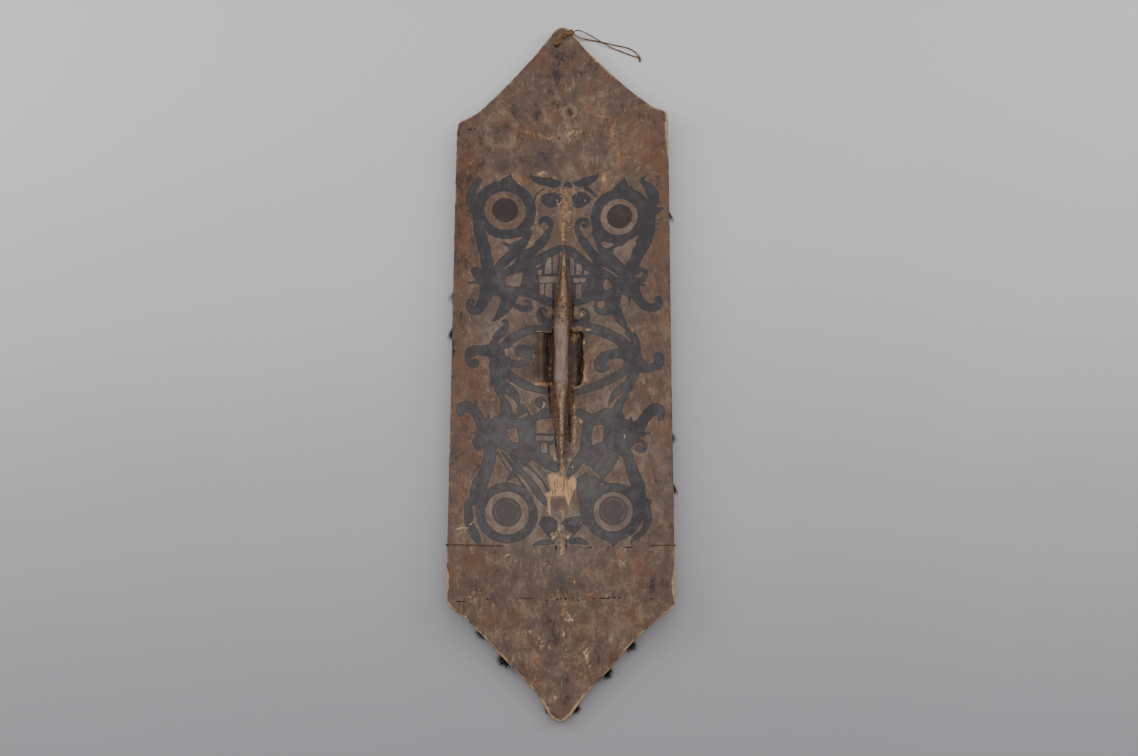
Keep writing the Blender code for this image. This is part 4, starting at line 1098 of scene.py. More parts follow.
# Wood that is hazier and lighter (above 0) or darker (below 0); the narrow dark spots along the handle's feet
# and beside the grip are painted shade
toneAndShadeSpots = (
    (-15, 545, 80, 50, -0.22), (-174, 290, 20, 110, -1.2), (-175, 90, 14, 120, -0.3),
    (178, 330, 12, 80, -0.5), (-40, 560, 40, 40, -0.4), (-12, 530, 16, 20, -0.3), (-12, 572, 13, 14, -0.3),
    (-110, 415, 17, 23, -0.6), (-84, 447, 11, 15, -0.5), (-43, 446, 10, 12, -0.65), (-13, 471, 9, 8, -0.6),
    (13, 456, 7, 7, -0.9), (-39, 361, 24, 18, -0.7), (-106, 345, 20, 14, -0.8), (28, 388, 22, 12, -0.5),
    (130, 440, 34, 14, -0.4), (60, 470, 40, 40, 0.45), (0, 520, 34, 34, -0.35), (-80, 462, 28, 26, -0.35),
    (-60, 385, 26, 18, 0.5), (10, 400, 16, 24, 0.6), (10, 330, 14, 26, 0.7), (-90, 320, 26, 12, 0.5),
    (130, 375, 26, 30, 0.5), (90, 350, 16, 30, 0.4), (0, 275, 16, 40, 0.15), (75, 323, 10, 20, 0.5),
    (-8, -491, 10, 22, -0.6), (28, -496, 8, 16, -0.55), (62, -521, 12, 14, -0.5), (8, -552, 14, 12, -0.5),
    (0, -593, 12, 12, -0.5), (-48, -494, 6, 7, -0.6), (-60, -550, 14, 10, -0.6),
    (-150, -410, 24, 14, -0.6), (150, -410, 26, 14, -0.6), (0, -400, 26, 14, -0.6),
    (-33, -496, 16, 16, 0.35), (105, -365, 26, 26, 0.4), (20, -470, 16, 30, 0.25),
    (43, -521, 10, 18, 0.35), (130, -455, 8, 26, 0.4), (10, -110, 6, 90, -1.1), (-16, -84, 6, 30, -1.3),
    (-29, -128, 13, 12, 1.0), (-12, 105, 3, 34, -1.2), (17, 100, 4, 46, -1.6), (26, 58, 7, 7, -1.5),
    (16, -70, 8, 18, -1.3), (-18, 0, 3, 60, -0.6), (17, 0, 3, 50, -1.6), (-48, -10, 7, 40, -0.6),
    (48, 0, 8, 36, 0.3), (0, -360, 14, 30, 0.4), (0, 130, 110, 60, -0.1), (0, -430, 240, 180, 0.24),
    (0, -80, 120, 140, 0.30), (-28, 140, 14, 36, 0.3), (28, 140, 14, 36, 0.3), (107, 186, 16, 16, 0.8),
    (-105, 185, 18, 16, 0.5), (-85, 133, 12, 12, 0.5), (-120, 40, 14, 14, 0.5), (-91, -281, 36, 36, 1.0),
    (-30, -150, 10, 30, 0.2), (0, 260, 110, 60, 0.2),
)
# Soft pale rings left round old stains
haloSpots = (
    (-110, 415, 26, 32, 0.75), (13, 456, 11, 12, 0.9), (-43, 446, 14, 18, 0.5), (12, 517, 8, 17, 0.7),
    (-13, 471, 12, 12, 0.5), (-84, 447, 16, 21, 0.3), (80, 470, 14, 18, 0.3), (-105, 345, 26, 20, 0.3),
)
# Pale worn flecks; the row down the middle of the handle's crest is partly painted highlight
paleSpots = (
    (3, 286, 6, 16, 0.5), (10, 256, 8, 16, 0.55), (2, 214, 3.2, 14, 0.8), (-8, 283, 5, 8, 0.6),
    (14, 236, 5, 10, 0.5), (22, 300, 8, 9, 0.8), (40, 282, 3, 4, 0.8), (-40, 214, 3, 8, 0.6),
    (74, 323, 4.5, 14, 0.9), (-55, 203, 5, 7, 0.6), (36, 71, 2.4, 4, 1.6), (11, 406, 7, 10, 0.7),
    (23, 418, 9, 5, 0.55), (-20, 404, 16, 5, 0.4), (8, 425, 4, 10, 0.4), (10, 325, 7, 16, 0.55),
    (-39, 335, 9, 6, 0.5), (-9, 473, 4, 2.0, 0.8), (20, 449, 3, 8, 0.6), (88, 400, 3, 14, 0.45),
    (101, 361, 3, 10, 0.45), (71, 444, 4, 9, 0.4), (14, 500, 3, 5, 0.6), (-28, 332, 14, 5, 0.4),
    (28, 285, 4, 10, 0.4), (1, -344, 4.5, 13, 1.1), (-11, -322, 6, 6, 1.1), (10, -321, 6, 6, 1.0),
    (-2, -309, 3.6, 11, 1.0), (2, -281, 4, 6, 0.7), (-88, -353, 6, 4, 0.9), (-21, -371, 8, 8, 0.6),
    (21, -395, 5, 6, 0.8), (-24, -405, 0.9, 14, 0.7), (101, -369, 6, 16, 0.5), (114, -343, 8, 5, 0.7),
    (-130, -416, 26, 1.5, 0.5), (60, -418, 26, 2.0, 0.4), (8, -440, 5, 14, 0.6), (16, -458, 6, 8, 0.9),
    (38, -435, 3, 14, 0.6), (5, -483, 4, 6, 0.8), (9, -509, 1.4, 6, 1.0), (43, -521, 4.5, 14, 0.95),
    (47, -537, 3, 6, 0.7), (-55, -481, 7, 5, 0.7), (-33, -496, 10, 10, 0.4), (15, -545, 3, 4, 0.9),
    (-9, -587, 5, 5, 0.8), (-18, -545, 3, 3, 0.7), (-30, -470, 4, 4, 0.4), (0, -520, 70, 76, 0.16),
    (0, 400, 110, 50, 0.12), (-44, -56, 4, 2.6, 1.4), (40, -26, 3.4, 20, 0.85), (41, -46, 3.4, 9, 0.9),
    (47, 42, 8, 2.6, 0.8), (38.5, 20, 2.0, 8, 1.1), (33, -121, 5, 3.0, 1.4), (22.5, -112, 3, 7, 0.9),
    (22.5, -152, 2.6, 22, 0.8), (-11, -184, 3.4, 11, 1.2), (13, -188, 4, 2, 1.2),
    (19.5, -204, 1.4, 10, 1.3), (-30, -92, 1.8, 4, 1.0), (-1.5, -92, 3.6, 10, 0.80),
    (-1, -115, 3.4, 14, 0.80), (-0.5, -140, 3.0, 16, 0.75), (0.5, -168, 3.0, 18, 0.75),
    (2, 60, 7, 8, 0.75), (3, 84, 5, 12, 0.5), (22, -98, 2.4, 8, 0.9), (-20, -60, 4, 4, 0.5),
    (34, 40, 6, 4, 0.7), (3, -203, 3.4, 12, 0.5), (-40, -54, 8, 3, 0.7), (-20, -276, 5, 10, 0.6),
    (16, -280, 5, 10, 0.6), (1, -246, 12, 3, 0.6), (-126, -127, 1.4, 2, 0.8), (54, -108.7, 0.9, 3.4, 1.4),
    (108, -152, 0.9, 5, 1.2), (24, 38, 10, 2.4, 0.5), (-30, 95, 4, 6, 0.3), (103, 219, 1.2, 4, 0.7),
    (28, -60, 9, 1.6, 0.8), (3, 100, 2.4, 20, 0.3),
)
# Dark holes, slits and stains, and painted shade in the slits of the finger hollow and in the creases along
# the handle's feet
darkStainAndShadeSpots = (
    (-185.5, -6, 2.2, 11, 1.3), (8.6, -425, 2.2, 4.4, 1.1), (-23, -427, 3, 2.4, 0.9),
    (-57, -425, 12, 2.2, 0.7), (34, -427, 7, 2.2, 0.7), (78, -425, 16, 2.2, 0.7), (-6, 405, 2.2, 3.4, 1.0),
    (-162, 413, 9, 2.2, 0.7), (112, -340, 14, 2, 0.5), (19.5, -241, 2.2, 3.4, 0.9), (-24, 0, 3.5, 44, 0.9),
    (31, -26, 3.2, 26, 0.9), (30, -54, 3, 3, 1.4), (-21, -80, 3, 18, 0.8), (-18.5, -108, 2.6, 16, 0.7),
    (-6, -232, 0.9, 12, 0.7), (9, -236, 0.9, 10, 0.6), (-15, -228, 0.9, 8, 0.6), (15.5, -132, 4, 46, 0.75),
    (-9.5, -160, 1.8, 34, 0.9), (20, 84, 2.6, 26, 0.9), (-14.5, 96, 2.4, 34, 0.9), (-21, -62, 3, 8, 1.0),
    (9, -200, 1.8, 14, 0.8), (-5, -200, 1.6, 12, 0.8), (26, 60, 6, 4, 0.9), (35, 36, 1.6, 5, 1.0),
    (-3, -318, 1.3, 10, 0.8), (9, -325, 1.3, 14, 0.8), (-8, -338, 2.0, 8, 1.1), (9.5, -338, 2.0, 7, 1.0),
    (-18.5, -304, 6, 5.5, 0.42), (15, -302, 6, 5.5, 0.42), (-10, -243, 2.4, 4, 0.9),
    (160, 335, 6, 2.0, 0.6), (140, 438, 5, 2, 0.7), (28, 524, 2.2, 5, 0.5), (-16, 60, 3, 8, 0.6),
    (13, -120, 2.4, 30, 0.6), (-4, 478, 4, 1.5, 0.7), (47, -529, 1.0, 7, 0.8),
)
# Orange torn and split wood
orangeSpots = (
    (-69, 414, 18, 8, 0.58), (-25, 406, 28, 8, 0.60), (24, 416, 12, 8, 0.8), (-80, 320, 20, 8, 0.6),
    (-38, 333, 14, 9, 0.7), (74, 322, 8, 20, 0.95), (136, 377, 22, 24, 0.30), (101, 361, 6, 26, 0.6),
    (71, 444, 10, 13, 0.55), (88, 410, 7, 26, 0.5), (85, 526, 20, 14, 0.5), (-60, 545, 14, 10, 0.3),
    (2, 292, 11, 24, 0.75), (8, 258, 12, 22, 0.65), (2, 222, 4, 26, 1.1), (-20, 300, 14, 16, 0.35),
    (60, 300, 8, 12, 0.3), (1, -346, 6, 18, 0.9), (0, -319, 15, 8, 0.9), (101, -369, 12, 22, 0.45),
    (140, -372, 20, 14, 0.3), (-140, -372, 22, 12, 0.25), (-181, -383, 8, 6, 0.5), (129, -458, 6, 26, 0.6),
    (8, -442, 8, 18, 0.5), (-41, -526, 10, 18, 0.45), (38, -548, 22, 14, 0.4), (-47, -566, 16, 12, 0.5),
    (45, -419, 18, 5, 0.5), (-58, -424, 14, 4, 0.55), (-16, -426, 16, 4, 0.55), (10, -425, 8, 6, 0.6),
    (76, -421, 20, 4, 0.5), (-140, -418, 24, 3, 0.4), (0, -520, 80, 80, 0.26), (30, 390, 130, 70, 0.20),
    (-18, -322, 7, 6, 0.6), (24, 74, 6, 6, 1.0), (26, 46, 14, 7, 0.95), (22, 31, 8, 9, 0.9),
    (20, 2, 4, 34, 0.5), (23, -46, 6, 10, 0.6), (31, 34, 5, 5, 0.6), (41, -20, 5.5, 18, 1.15),
    (40, -44, 4.5, 12, 1.15), (39, 14, 3, 12, 0.8), (44, 43, 9, 3.4, 0.9), (-34, -54, 13, 5, 1.2),
    (24, -60, 13, 4, 1.1), (-21, -30, 3, 26, 0.6), (-22, -263, 4.5, 16, 0.7), (15, -262, 4.5, 14, 0.6),
    (2, -279, 6, 9, 0.9), (0, -250, 16, 4, 0.7), (-18.5, -10, 2.6, 50, 0.35), (-19, -58, 5, 8, 0.6),
    (1, 66, 11, 12, 0.55), (3, 105, 5, 22, 0.55), (3.5, 150, 4, 30, 0.5), (2, -203, 4.5, 14, 1.3),
    (22, -97, 3.4, 8, 0.9), (22.5, -142, 4.6, 36, 1.15), (-12, -84, 5, 26, 0.4), (-26, -128, 8, 11, 0.75),
    (-14, -176, 6, 14, 0.9), (33, -121, 5, 4, 0.7), (-10, -100, 4, 26, 0.3),
)
# The crest of the handle, paler: rubbed wear, and a painted highlight along the crest
crestWearAndHighlightSpots = (
    (3.5, 190, 2.5, 16, 0.6), (3.5, 160, 3.0, 24, 0.8), (3, 125, 4.0, 22, 0.65), (3, 97, 5.5, 18, 0.6),
    (1, 66, 11, 12, 0.45), (0, -70, 9, 16, 0.9), (-1, -98, 6.5, 20, 0.9), (-0.5, -132, 4.6, 22, 0.85),
    (0.5, -168, 3.6, 24, 0.85), (2, -203, 4, 14, 1.0),
)
# The shaded ground of the finger hollow on both sides of the grip
hollowShade = [
    [(-43.5, 38.5), (-18, 38.5), (-18, -54), (-34, -54), (-38, -49), (-41, -20)],
    [(17, 36), (26, 38), (36, 33), (38, 12), (38.5, -20), (36, -50), (26, -55), (18, -54)],
]
# Thin pale lines: a drip, the lip of the finger hollow, and a scratch
paleStrokes = [
    [(-173, -312, 1.2), (-165, -309, 1.3), (-156, -310, 1.0), (-152, -303, 1.0), (-147, -299, 1.0)],
    [(-43, 39.8, 0.7), (-18, 39.8, 0.7)],
    [(-31, -86, 0.8), (-29.5, -92, 0.8), (-33, -97, 0.6)],
]
# Where the edge is paler: rubbed down to bare wood, and a painted highlight along the slanted ends and the
# bottom tip
rimWearAndHighlightSpots = (
    (189, 410, 14, 40, 2.2), (-188, 408, 12, 20, 1.3), (-189, -408, 12, 34, 1.5), (189, -412, 12, 34, 1.5),
    (0, 620, 30, 14, 0.5), (0, -612, 40, 20, 0.9), (60, 560, 24, 30, 0.4),
)
# A grey haze over the bare wood between the scrolls
hazeSpots = (
    (-28, 148, 20, 44, 1.1), (28, 148, 20, 44, 0.9), (-100, 180, 34, 40, 0.5), (102, 184, 30, 36, 0.9),
    (-85, 133, 16, 16, 0.9), (0, 60, 120, 60, 0.45), (-120, 40, 30, 30, 0.6), (-60, -80, 30, 26, 0.7),
    (60, -80, 26, 26, 0.5), (0, -190, 130, 80, 0.65), (-40, -212, 26, 30, 0.3), (-28, -150, 16, 16, 0.4),
    (-91, -281, 44, 44, 0.9), (88, -279, 40, 40, 0.8), (101, 250, 34, 34, 0.9), (160, -200, 30, 60, 0.4),
    (0, -320, 120, 50, 0.5),
)
# Where the paint is thinner (above 0) or fresher (below 0), the first over the whole middle
fadeSpots = (
    (0, -20, 110, 150, 0.5), (-100, 130, 20, 20, 0.6), (-58, 135, 16, 16, 0.25), (-75, 36, 34, 12, 0.5),
    (72, 38, 34, 12, 0.35), (-62, -5, 12, 12, 0.5), (-100, -145, 24, 24, 0.3), (-60, -150, 16, 24, 0.2),
    (-125, -200, 18, 34, 0.3), (-52, -222, 22, 26, 0.5), (140, -122, 26, 22, -1.0),
    (95, -140, 20, 20, -0.2), (125, -282, 30, 60, -0.4), (70, -195, 26, 24, 0.4), (42, -236, 24, 26, 0.3),
    (0, 320, 80, 10, -0.5), (148, 215, 14, 40, -0.3), (45, -150, 14, 20, -0.2),
)
# Lower eyes, with rings worn lighter in them
lowerEyes = ((-91.3, -280.7), (88.3, -277.9))


# Fields that the board's finish reads, kept on its points
def markBoard(piece):
    mesh = piece.data
    places = np.zeros(len(mesh.vertices) * 3)
    mesh.vertices.foreach_get("co", places)
    places = places.reshape(-1, 3)
    x, y = places[:, 0] * 1000, places[:, 1] * 1000
    above = (places[:, 2] - backHeight(places[:, 0])) * 1000
    dark = np.minimum(strokeField(x, y, scrollStrokes), areaField(x, y, darkAreas))
    light = np.minimum(strokeField(x, y, gapStrokes), areaField(x, y, gapAreas))
    paint = np.clip(np.maximum(dark, -light), -markReach, markReach)
    # the handle's own carving and the finger hollow carry no painting
    bare = np.maximum(ramp(above, 2.0, 4.0), ramp(-above, 1.5, 3.5))
    # how far in from the edge, square to it
    spots, which = np.unique(places[:, 1], return_inverse=True)
    width, slant = np.zeros(len(x)), np.zeros(len(x))
    for side in (-1, 1):
        edges = np.array([halfWidth(spot, side) for spot in spots]) * 1000
        here = (x > 0) == (side > 0)
        width[here] = edges[which][here]
        slant[here] = np.gradient(edges, spots * 1000 + 1e-9 * np.arange(len(spots)))[which][here]
    # the painted shade in the finger hollow hardly shows at its outer left, and shows less beside the grip on
    # the right
    dimLeft = 0.04 + 0.96 * ramp(x, -37, -28)
    dimRight = 0.55 + 0.45 * ramp(x, 26, 29) * (1 - 0.5 * ramp(y, 2, 30))
    inHollow = ramp(-areaField(x, y, hollowShade), -0.5, 2.0) * (above < 1)
    alongGrip = ramp(y, -78, -46) * (1 - ramp(y, 34, 72)) * ramp(above, 8.0, 20.0)
    scratched = ramp(-strokeField(x, y, paleStrokes), -0.8, 0.4)
    eyeAway = np.min([np.hypot(x - eyeX, y - eyeY) for eyeX, eyeY in lowerEyes], 0)
    fields = {
        "paint": paint + (markReach - paint) * bare,
        "eye": np.clip(strokeField(x, y, eyeDiscs), -markReach, markReach),
        "eyeAway": np.clip(eyeAway, 0, 80),
        "raw": np.clip(areaField(x, y, [tornPatch]), -markReach, markReach),
        "red": spotField(x, y, redSpots),
        "tone": spotField(x, y, toneAndShadeSpots) + haloField(x, y, haloSpots),
        "pale": np.clip(spotField(x, y, paleSpots), 0, 1.5) + 1.3 * scratched,
        "stainAndShade": np.clip(spotField(x, y, darkStainAndShadeSpots), 0, 1.5) * (1 - ramp(above, 20.0, 28.0)),
        "orange": np.clip(spotField(x, y, orangeSpots), 0, 1.4),
        "fade": ramp(-y, -60, 160) * 0.45 + spotField(x, y, fadeSpots),
        "haze": np.clip(spotField(x, y, hazeSpots), 0, 1.5),
        # painted shade: darker where the surface sinks below the back's slope, and over the finger hollow
        "hollowPaintedShade": np.maximum(ramp(-above, 1.5, 8.0), inHollow) * np.where(x < 0, dimLeft, dimRight),
        "crest": ramp(above, 1.0, 6.0),
        "rubbedAndHighlit": np.clip(spotField(x, y, crestWearAndHighlightSpots), 0, 1),
        "grip": alongGrip * (1 - ramp(np.abs(x + 0.5), 11.0, 13.5)),
        "edge": np.clip((width - np.abs(x)) / np.sqrt(1 + slant ** 2), 0, 20),
        # paler rim along the slanted ends: partly bare wood, partly a painted highlight on the edge
        "rim": ramp(np.abs(slant), 0.1, 0.5) * (0.60 + 0.10 * (y < 0)) + spotField(x, y, rimWearAndHighlightSpots),
    }
    fields["rim"] = np.clip(fields["rim"], 0, 2.0)
    for name, values in fields.items():
        attribute = mesh.attributes.new(name, "FLOAT", "POINT")
        attribute.data.foreach_set("value", values.astype(np.float32))


# Cane strips across the front, let in flush. The third goes round both edges and on over the back.
cane = {
    "wrappedRow": 2,
    "wrapEnds": (-0.096, 0.149),                   # where it ends on the back
    "step": 0.004,
    "inset": 0.0012,           # how far from the edge the other three end
    # its section: share of the half width, share of the half thickness
    "section": ((-1.0, -0.35), (-0.75, -0.85), (0.0, -1.0), (0.75, -0.85), (1.0, -0.35),
                (1.0, 0.45), (0.72, 0.92), (0.0, 1.0), (-0.72, 0.92), (-1.0, 0.45)),
    "wander": 0.0002,
    "narrow": 0.34,            # its width over the back, as a share
    "tipShare": 0.45,          # how much of that is left at its very tips
    "tipTaper": 0.030,         # length in which it would gain its whole width
}


# Middle line of one strip, from left to right, as points in X and Z
def caneLine(row):
    y = board["caneRows"][row]
    level = board["caneRecess"] + board["caneThickness"] / 2
    ridge = board["ridgeHalf"]
    halves = {}
    for side, end in zip((-1, 1), cane["wrapEnds"]):
        width = halfWidth(y, side)
        if row == cane["wrappedRow"]:
            out = board["touch"] + board["caneThickness"] / 2
            half = [(width - 0.002, frontHeight(width - 0.002, y) + level),
                    (width + out, frontHeight(width, y) + 0.0015),
                    (width + out, backHeight(width) - 0.0008),
                    (width - 0.0024, backHeight(width - 0.0024) + out)]
            half += [(x, backHeight(x) + out) for x in (0.5 * (width + abs(end)), abs(end))]
        else:
            reach = width - cane["inset"]
            half = [(reach, frontHeight(reach, y) + level)]
        halves[side] = [Vector((side * x, z)) for x, z in [(ridge, level)] + half]
    return halves[-1][::-1] + halves[1]


def makeCane(row, material):
    y = board["caneRows"][row]
    corners = caneLine(row)
    line = []
    for a, b in zip(corners, corners[1:]):
        count = max(1, int((b - a).length / cane["step"]))
        line += [a.lerp(b, k / count) for k in range(count)]
    line.append(corners[-1])
    atEdge = [i for i, point in enumerate(line) if abs(point.x) > board["halfWidth"]]
    last = len(line) - 1
    rings = []
    for i, point in enumerate(line):
        ahead = line[min(i + 1, last)] - point
        behind = point - line[i - 1] if i else ahead
        ahead = ahead if ahead.length > 0 else behind
        along = (ahead.normalized() + behind.normalized()).normalized()
        normal = Vector((-along.y, along.x))
        middle = y + cane["wander"] * latticeNoise(point.x * 30, row + 0.5, 41)
        half = board["caneWidth"] / 2 * (0.93 + 0.06 * latticeNoise(point.x * 55, row, 42))
        # split thinner where it lies over the back, and thinner still towards its ends
        if atEdge and (i <= min(atEdge) or i >= max(atEdge)):
            fromEnd = min(i, last - i) * cane["step"]
            half *= cane["narrow"] * min(1.0, cane["tipShare"] + fromEnd / cane["tipTaper"])
        ring = []
        for across, lift in cane["section"]:
            spot = point + normal * (board["caneThickness"] / 2 * lift)
            ring.append((spot.x, middle + half * across, spot.y))
        rings.append(ring)
    skin = Skin()
    skin.addRings(rings)
    piece = makePiece(f"cane_{row + 1}", skin.points, skin.faces, material, sharpDeg=70)
    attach(piece, "root")
    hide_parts(f"cane_strip_{row + 1}")
    return piece


# Short stitches of cane that come through to the back: x, y, length and width in millimetres
stitches = (
    (72, -425, 18, 1.2), (89, -424, 6, 1.3), (98, -424.5, 4, 1.2), (55, -425.5, 4, 1.2),
    (37, -426, 3.4, 1.6), (30, -428, 3.6, 1.4), (20, -424, 2.6, 1.3), (8.6, -425, 2.6, 4.4),
    (0, -424, 2.4, 1.4), (-6.5, -426, 2.4, 3.2), (-17, -424, 2.6, 1.4), (-23, -428, 3.6, 1.5),
    (-31, -426, 2.6, 1.3), (-48, -424.5, 3.4, 1.6), (-54, -425.5, 3.0, 1.4), (-60, -425, 3.0, 1.3),
    (-66, -424.5, 3.4, 1.5), (-165, -432.5, 13, 1.2), (-120, -428, 8, 0.9), (-166, 412, 8, 1.3),
    (-156, 414, 4, 1.1), (112, -340.5, 12, 1.0), (96, -342, 3, 1.2), (34, -339, 2.8, 1.3),
    (43, -340, 4, 1.2), (49, -339, 2.4, 1.3), (-6, 405, 2.2, 4.0), (150, -427, 9, 0.9),
)
# and their form, in metres
stitch = {
    "steps": 10,
    "sides": 8,
    "arch": 0.0007,
    "lift": 0.0003,
    "halfThick": 0.0006,
    "endWidth": 0.6,           # share of the width that is left at the ends
}


def makeStitches(material):
    turns = [2 * math.pi * corner / stitch["sides"] for corner in range(stitch["sides"])]
    skin = Skin()
    for x, y, length, width in stitches:
        rings = []
        for step in range(stitch["steps"] + 1):
            share = step / stitch["steps"]
            spotX = (x - length / 2 + length * share) / 1000
            arch = math.sin(math.pi * share)
            face = backHeight(spotX) + stitch["arch"] * arch + stitch["lift"]
            swell = stitch["endWidth"] + (1 - stitch["endWidth"]) * arch
            rings.append([(spotX, y / 1000 + width / 2000 * math.cos(turn) * swell,
                           face + stitch["halfThick"] * math.sin(turn)) for turn in turns])
        skin.addRings(rings)
    piece = makePiece("cane_stitches", skin.points, skin.faces, material)
    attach(piece, "root")
    return piece


# Turns of twine through the hole and round the edge. Each row: x, y, the face that it lies over, how far off
# that face, heading in degrees from +X, width that the turns take
lashing = {
    "rows": ((-0.0110, 0.5880, "hole", 0.0000, 65, 0.0044), (-0.0110, 0.5882, "back", -0.0042, 65, 0.0046),
             (-0.0102, 0.5894, "back", 0.0006, 65, 0.0060), (-0.0080, 0.5936, "back", 0.0008, 65, 0.0080),
             (-0.0048, 0.6004, "back", 0.0008, 65, 0.0084), (-0.0014, 0.6062, "back", 0.0008, 58, 0.0082),
             (0.0032, 0.6100, "back", 0.0009, 38, 0.0078), (0.0092, 0.6122, "back", 0.0010, 26, 0.0076),
             (0.0146, 0.6146, "back", 0.0014, 34, 0.0076), (0.0187, 0.6172, "back", -0.0022, 39, 0.0074),
             (0.0189, 0.6174, "middle", 0.0004, 39, 0.0072), (0.0178, 0.6164, "front", -0.0001, 39, 0.0070),
             (0.0128, 0.6122, "front", -0.0008, 41, 0.0068), (0.0030, 0.6032, "front", -0.0008, 44, 0.0066),
             (-0.0066, 0.5936, "front", -0.0008, 47, 0.0062), (-0.0102, 0.5892, "front", -0.0005, 58, 0.0052),
             (-0.0110, 0.5881, "front", 0.0042, 65, 0.0046)),
    "inward": 0.004,
    "widen": 1.25,
    "turns": 4,
    # where the loop's two strands come from, and how far this twine runs along their first step
    "gather": ((0.0186, 0.6172, 0.0150), (0.0182, 0.6156, 0.0118)),
    "join": 0.15,
    "turnDiameter": 0.0026,
    "tightness": 0.98,
    "phase": 0.9,              # how far each turn's twist is ahead of the one before
}


def makeLashing(material):
    inward = lashing["inward"]
    gap = board["touch"] + twine["diameter"] / 2
    route = []
    for x, y, face, offset, heading, width in lashing["rows"]:
        back = backHeight(abs(x) + inward) + gap
        front = frontHeight(max(abs(x) - inward, 0.0), y - inward) - gap
        z = {"back": back, "front": front}.get(face, 0.5 * (back + front)) + offset
        angle = math.radians(heading)
        across = Vector((-math.sin(angle), math.cos(angle), 0.0))
        spread = max(width * lashing["widen"] - lashing["turnDiameter"], 0.0) / 2
        route.append((Vector((x, y, z)), across * spread))
    skin = Skin()
    mean = (lashing["turns"] - 1) / 2
    for turn in range(lashing["turns"]):
        closed = [centre + spread * ((turn - mean) / mean) for centre, spread in route + route[:1]]
        fine = smoothRoute(closed, twine["step"])[:-1]
        size = lashing["turnDiameter"] * lashing["tightness"]
        addTwist(skin, fine, size, twine["pitch"], phase=lashing["phase"] * turn, closed=True)
    for start, points in zip(lashing["gather"], twine["strands"]):
        first, second = Vector(points[0]), Vector(points[1])
        entry = smoothRoute((start, first, first.lerp(second, lashing["join"])), twine["step"])
        addTwist(skin, entry, twine["diameter"], twine["pitch"])
    piece = makePiece("lashing", skin.points, skin.faces, material)
    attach(piece, "root")
    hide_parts("twine_lashing")
    return piece


# Hair tufts fixed on the front near the edges: root (x, y), heading in degrees from +X, length, width
tufts = {
    "rows": ((-0.181, 0.124, -104.0, 0.036, 0.009), (-0.182, 0.054, -106.0, 0.036, 0.010),
             (0.182, 0.272, -70.0, 0.036, 0.005), (0.182, -0.134, -68.0, 0.030, 0.006),
             (0.181, -0.222, -66.0, 0.032, 0.008), (-0.120, -0.472, -132.0, 0.024, 0.016),
             (-0.082, -0.513, -128.0, 0.028, 0.020), (-0.012, -0.598, -125.0, 0.018, 0.011),
             (0.109, -0.487, -66.0, 0.027, 0.016), (0.070, -0.532, -64.0, 0.026, 0.016),
             (0.019, -0.596, -56.0, 0.018, 0.011)),
    "thickness": 0.0052,
    "reach": 0.1985,           # no hair goes further out from the middle line than this
    "hairsPerMm": 16.0,
    "hairRadius": 0.00026,
    "thinning": 0.72,          # share of its radius that a hair loses by its tip
    "steps": 6,
    "strays": 0.06,            # share of the hairs that stand out from the tuft
    "fan": 0.10,
    "strayFan": 0.30,
    "curl": 0.0020,
}


def makeTuft(index, rootX, rootY, headingDeg, length, width, material):
    draw = np.random.default_rng(500 + index)
    angle = math.radians(headingDeg)
    root = Vector((rootX, rootY, 0.0))
    heading = Vector((math.cos(angle), math.sin(angle), 0.0))
    across = Vector((-heading.y, heading.x, 0.0))
    skin = Skin()
    for _hair in range(int(tufts["hairsPerMm"] * width * 1000)):
        place = draw.uniform(-0.5, 0.5)
        depth = draw.uniform(0.05, 0.95)
        stray = draw.random() < tufts["strays"]
        reach = length * draw.uniform(0.78, 1.12) * (1 - 0.30 * abs(place)) * (1.18 if stray else 1.0)
        fan = draw.normal(0.0, tufts["strayFan"] if stray else tufts["fan"])
        curl = draw.normal(0.0, tufts["curl"])
        rings = []
        for step in range(tufts["steps"] + 1):
            share = step / tufts["steps"]
            spread = (0.35 + 0.65 * min(1.0, share * 1.8)) * place * width + fan * share * share * length
            spot = root + heading * (reach * share) + across * (spread + curl * share ** 2)
            spot.x = max(-tufts["reach"], min(tufts["reach"], spot.x))
            body = tufts["thickness"] * (0.55 + 0.45 * math.sin(math.pi * min(share * 1.2, 1.0)))
            spot.z = frontHeight(spot.x, spot.y) - board["touch"] - 0.0004 - body * depth
            radius = tufts["hairRadius"] * (1.0 - tufts["thinning"] * share)
            rings.append(circle(spot, radius, across, straightUp, 3))
        skin.addRings(rings)
    piece = makePiece(f"hair_{index + 1}", skin.points, skin.faces, material)
    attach(piece, "root")
    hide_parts(f"hair_tuft_{index + 1}")
    return piece


# Finishes

def srgb(*channels):
    parts = [part / 12.92 if part <= 0.04045 else ((part + 0.055) / 1.055) ** 2.4 for part in channels]
    return (*parts, 1.0)


def feed(tree, socket, value):
    if isinstance(value, bpy.types.NodeSocket):
        tree.links.new(value, socket)
    else:
        socket.default_value = value


# One node, with its settings and what feeds its inputs
def addNode(tree, kind, settings=None, inputs=None):
    node = tree.nodes.new(kind)
    for name, value in (settings or {}).items():
        setattr(node, name, value)
    for name, value in (inputs or {}).items():
        feed(tree, node.inputs[name], value)
    return node


def calc(tree, operation, a, b=0.0):
    return addNode(tree, "ShaderNodeMath", {"operation": operation}, {0: a, 1: b}).outputs[0]


def times(tree, a, b):
    return calc(tree, "MULTIPLY", a, b)


def addUp(tree, *values):
    total = values[0]
    for value in values[1:]:
        total = calc(tree, "ADD", total, value)
    return total


# How far noise is from its middle, times a strength
def sway(tree, noise, strength):
    return times(tree, calc(tree, "SUBTRACT", noise, 0.5), strength)


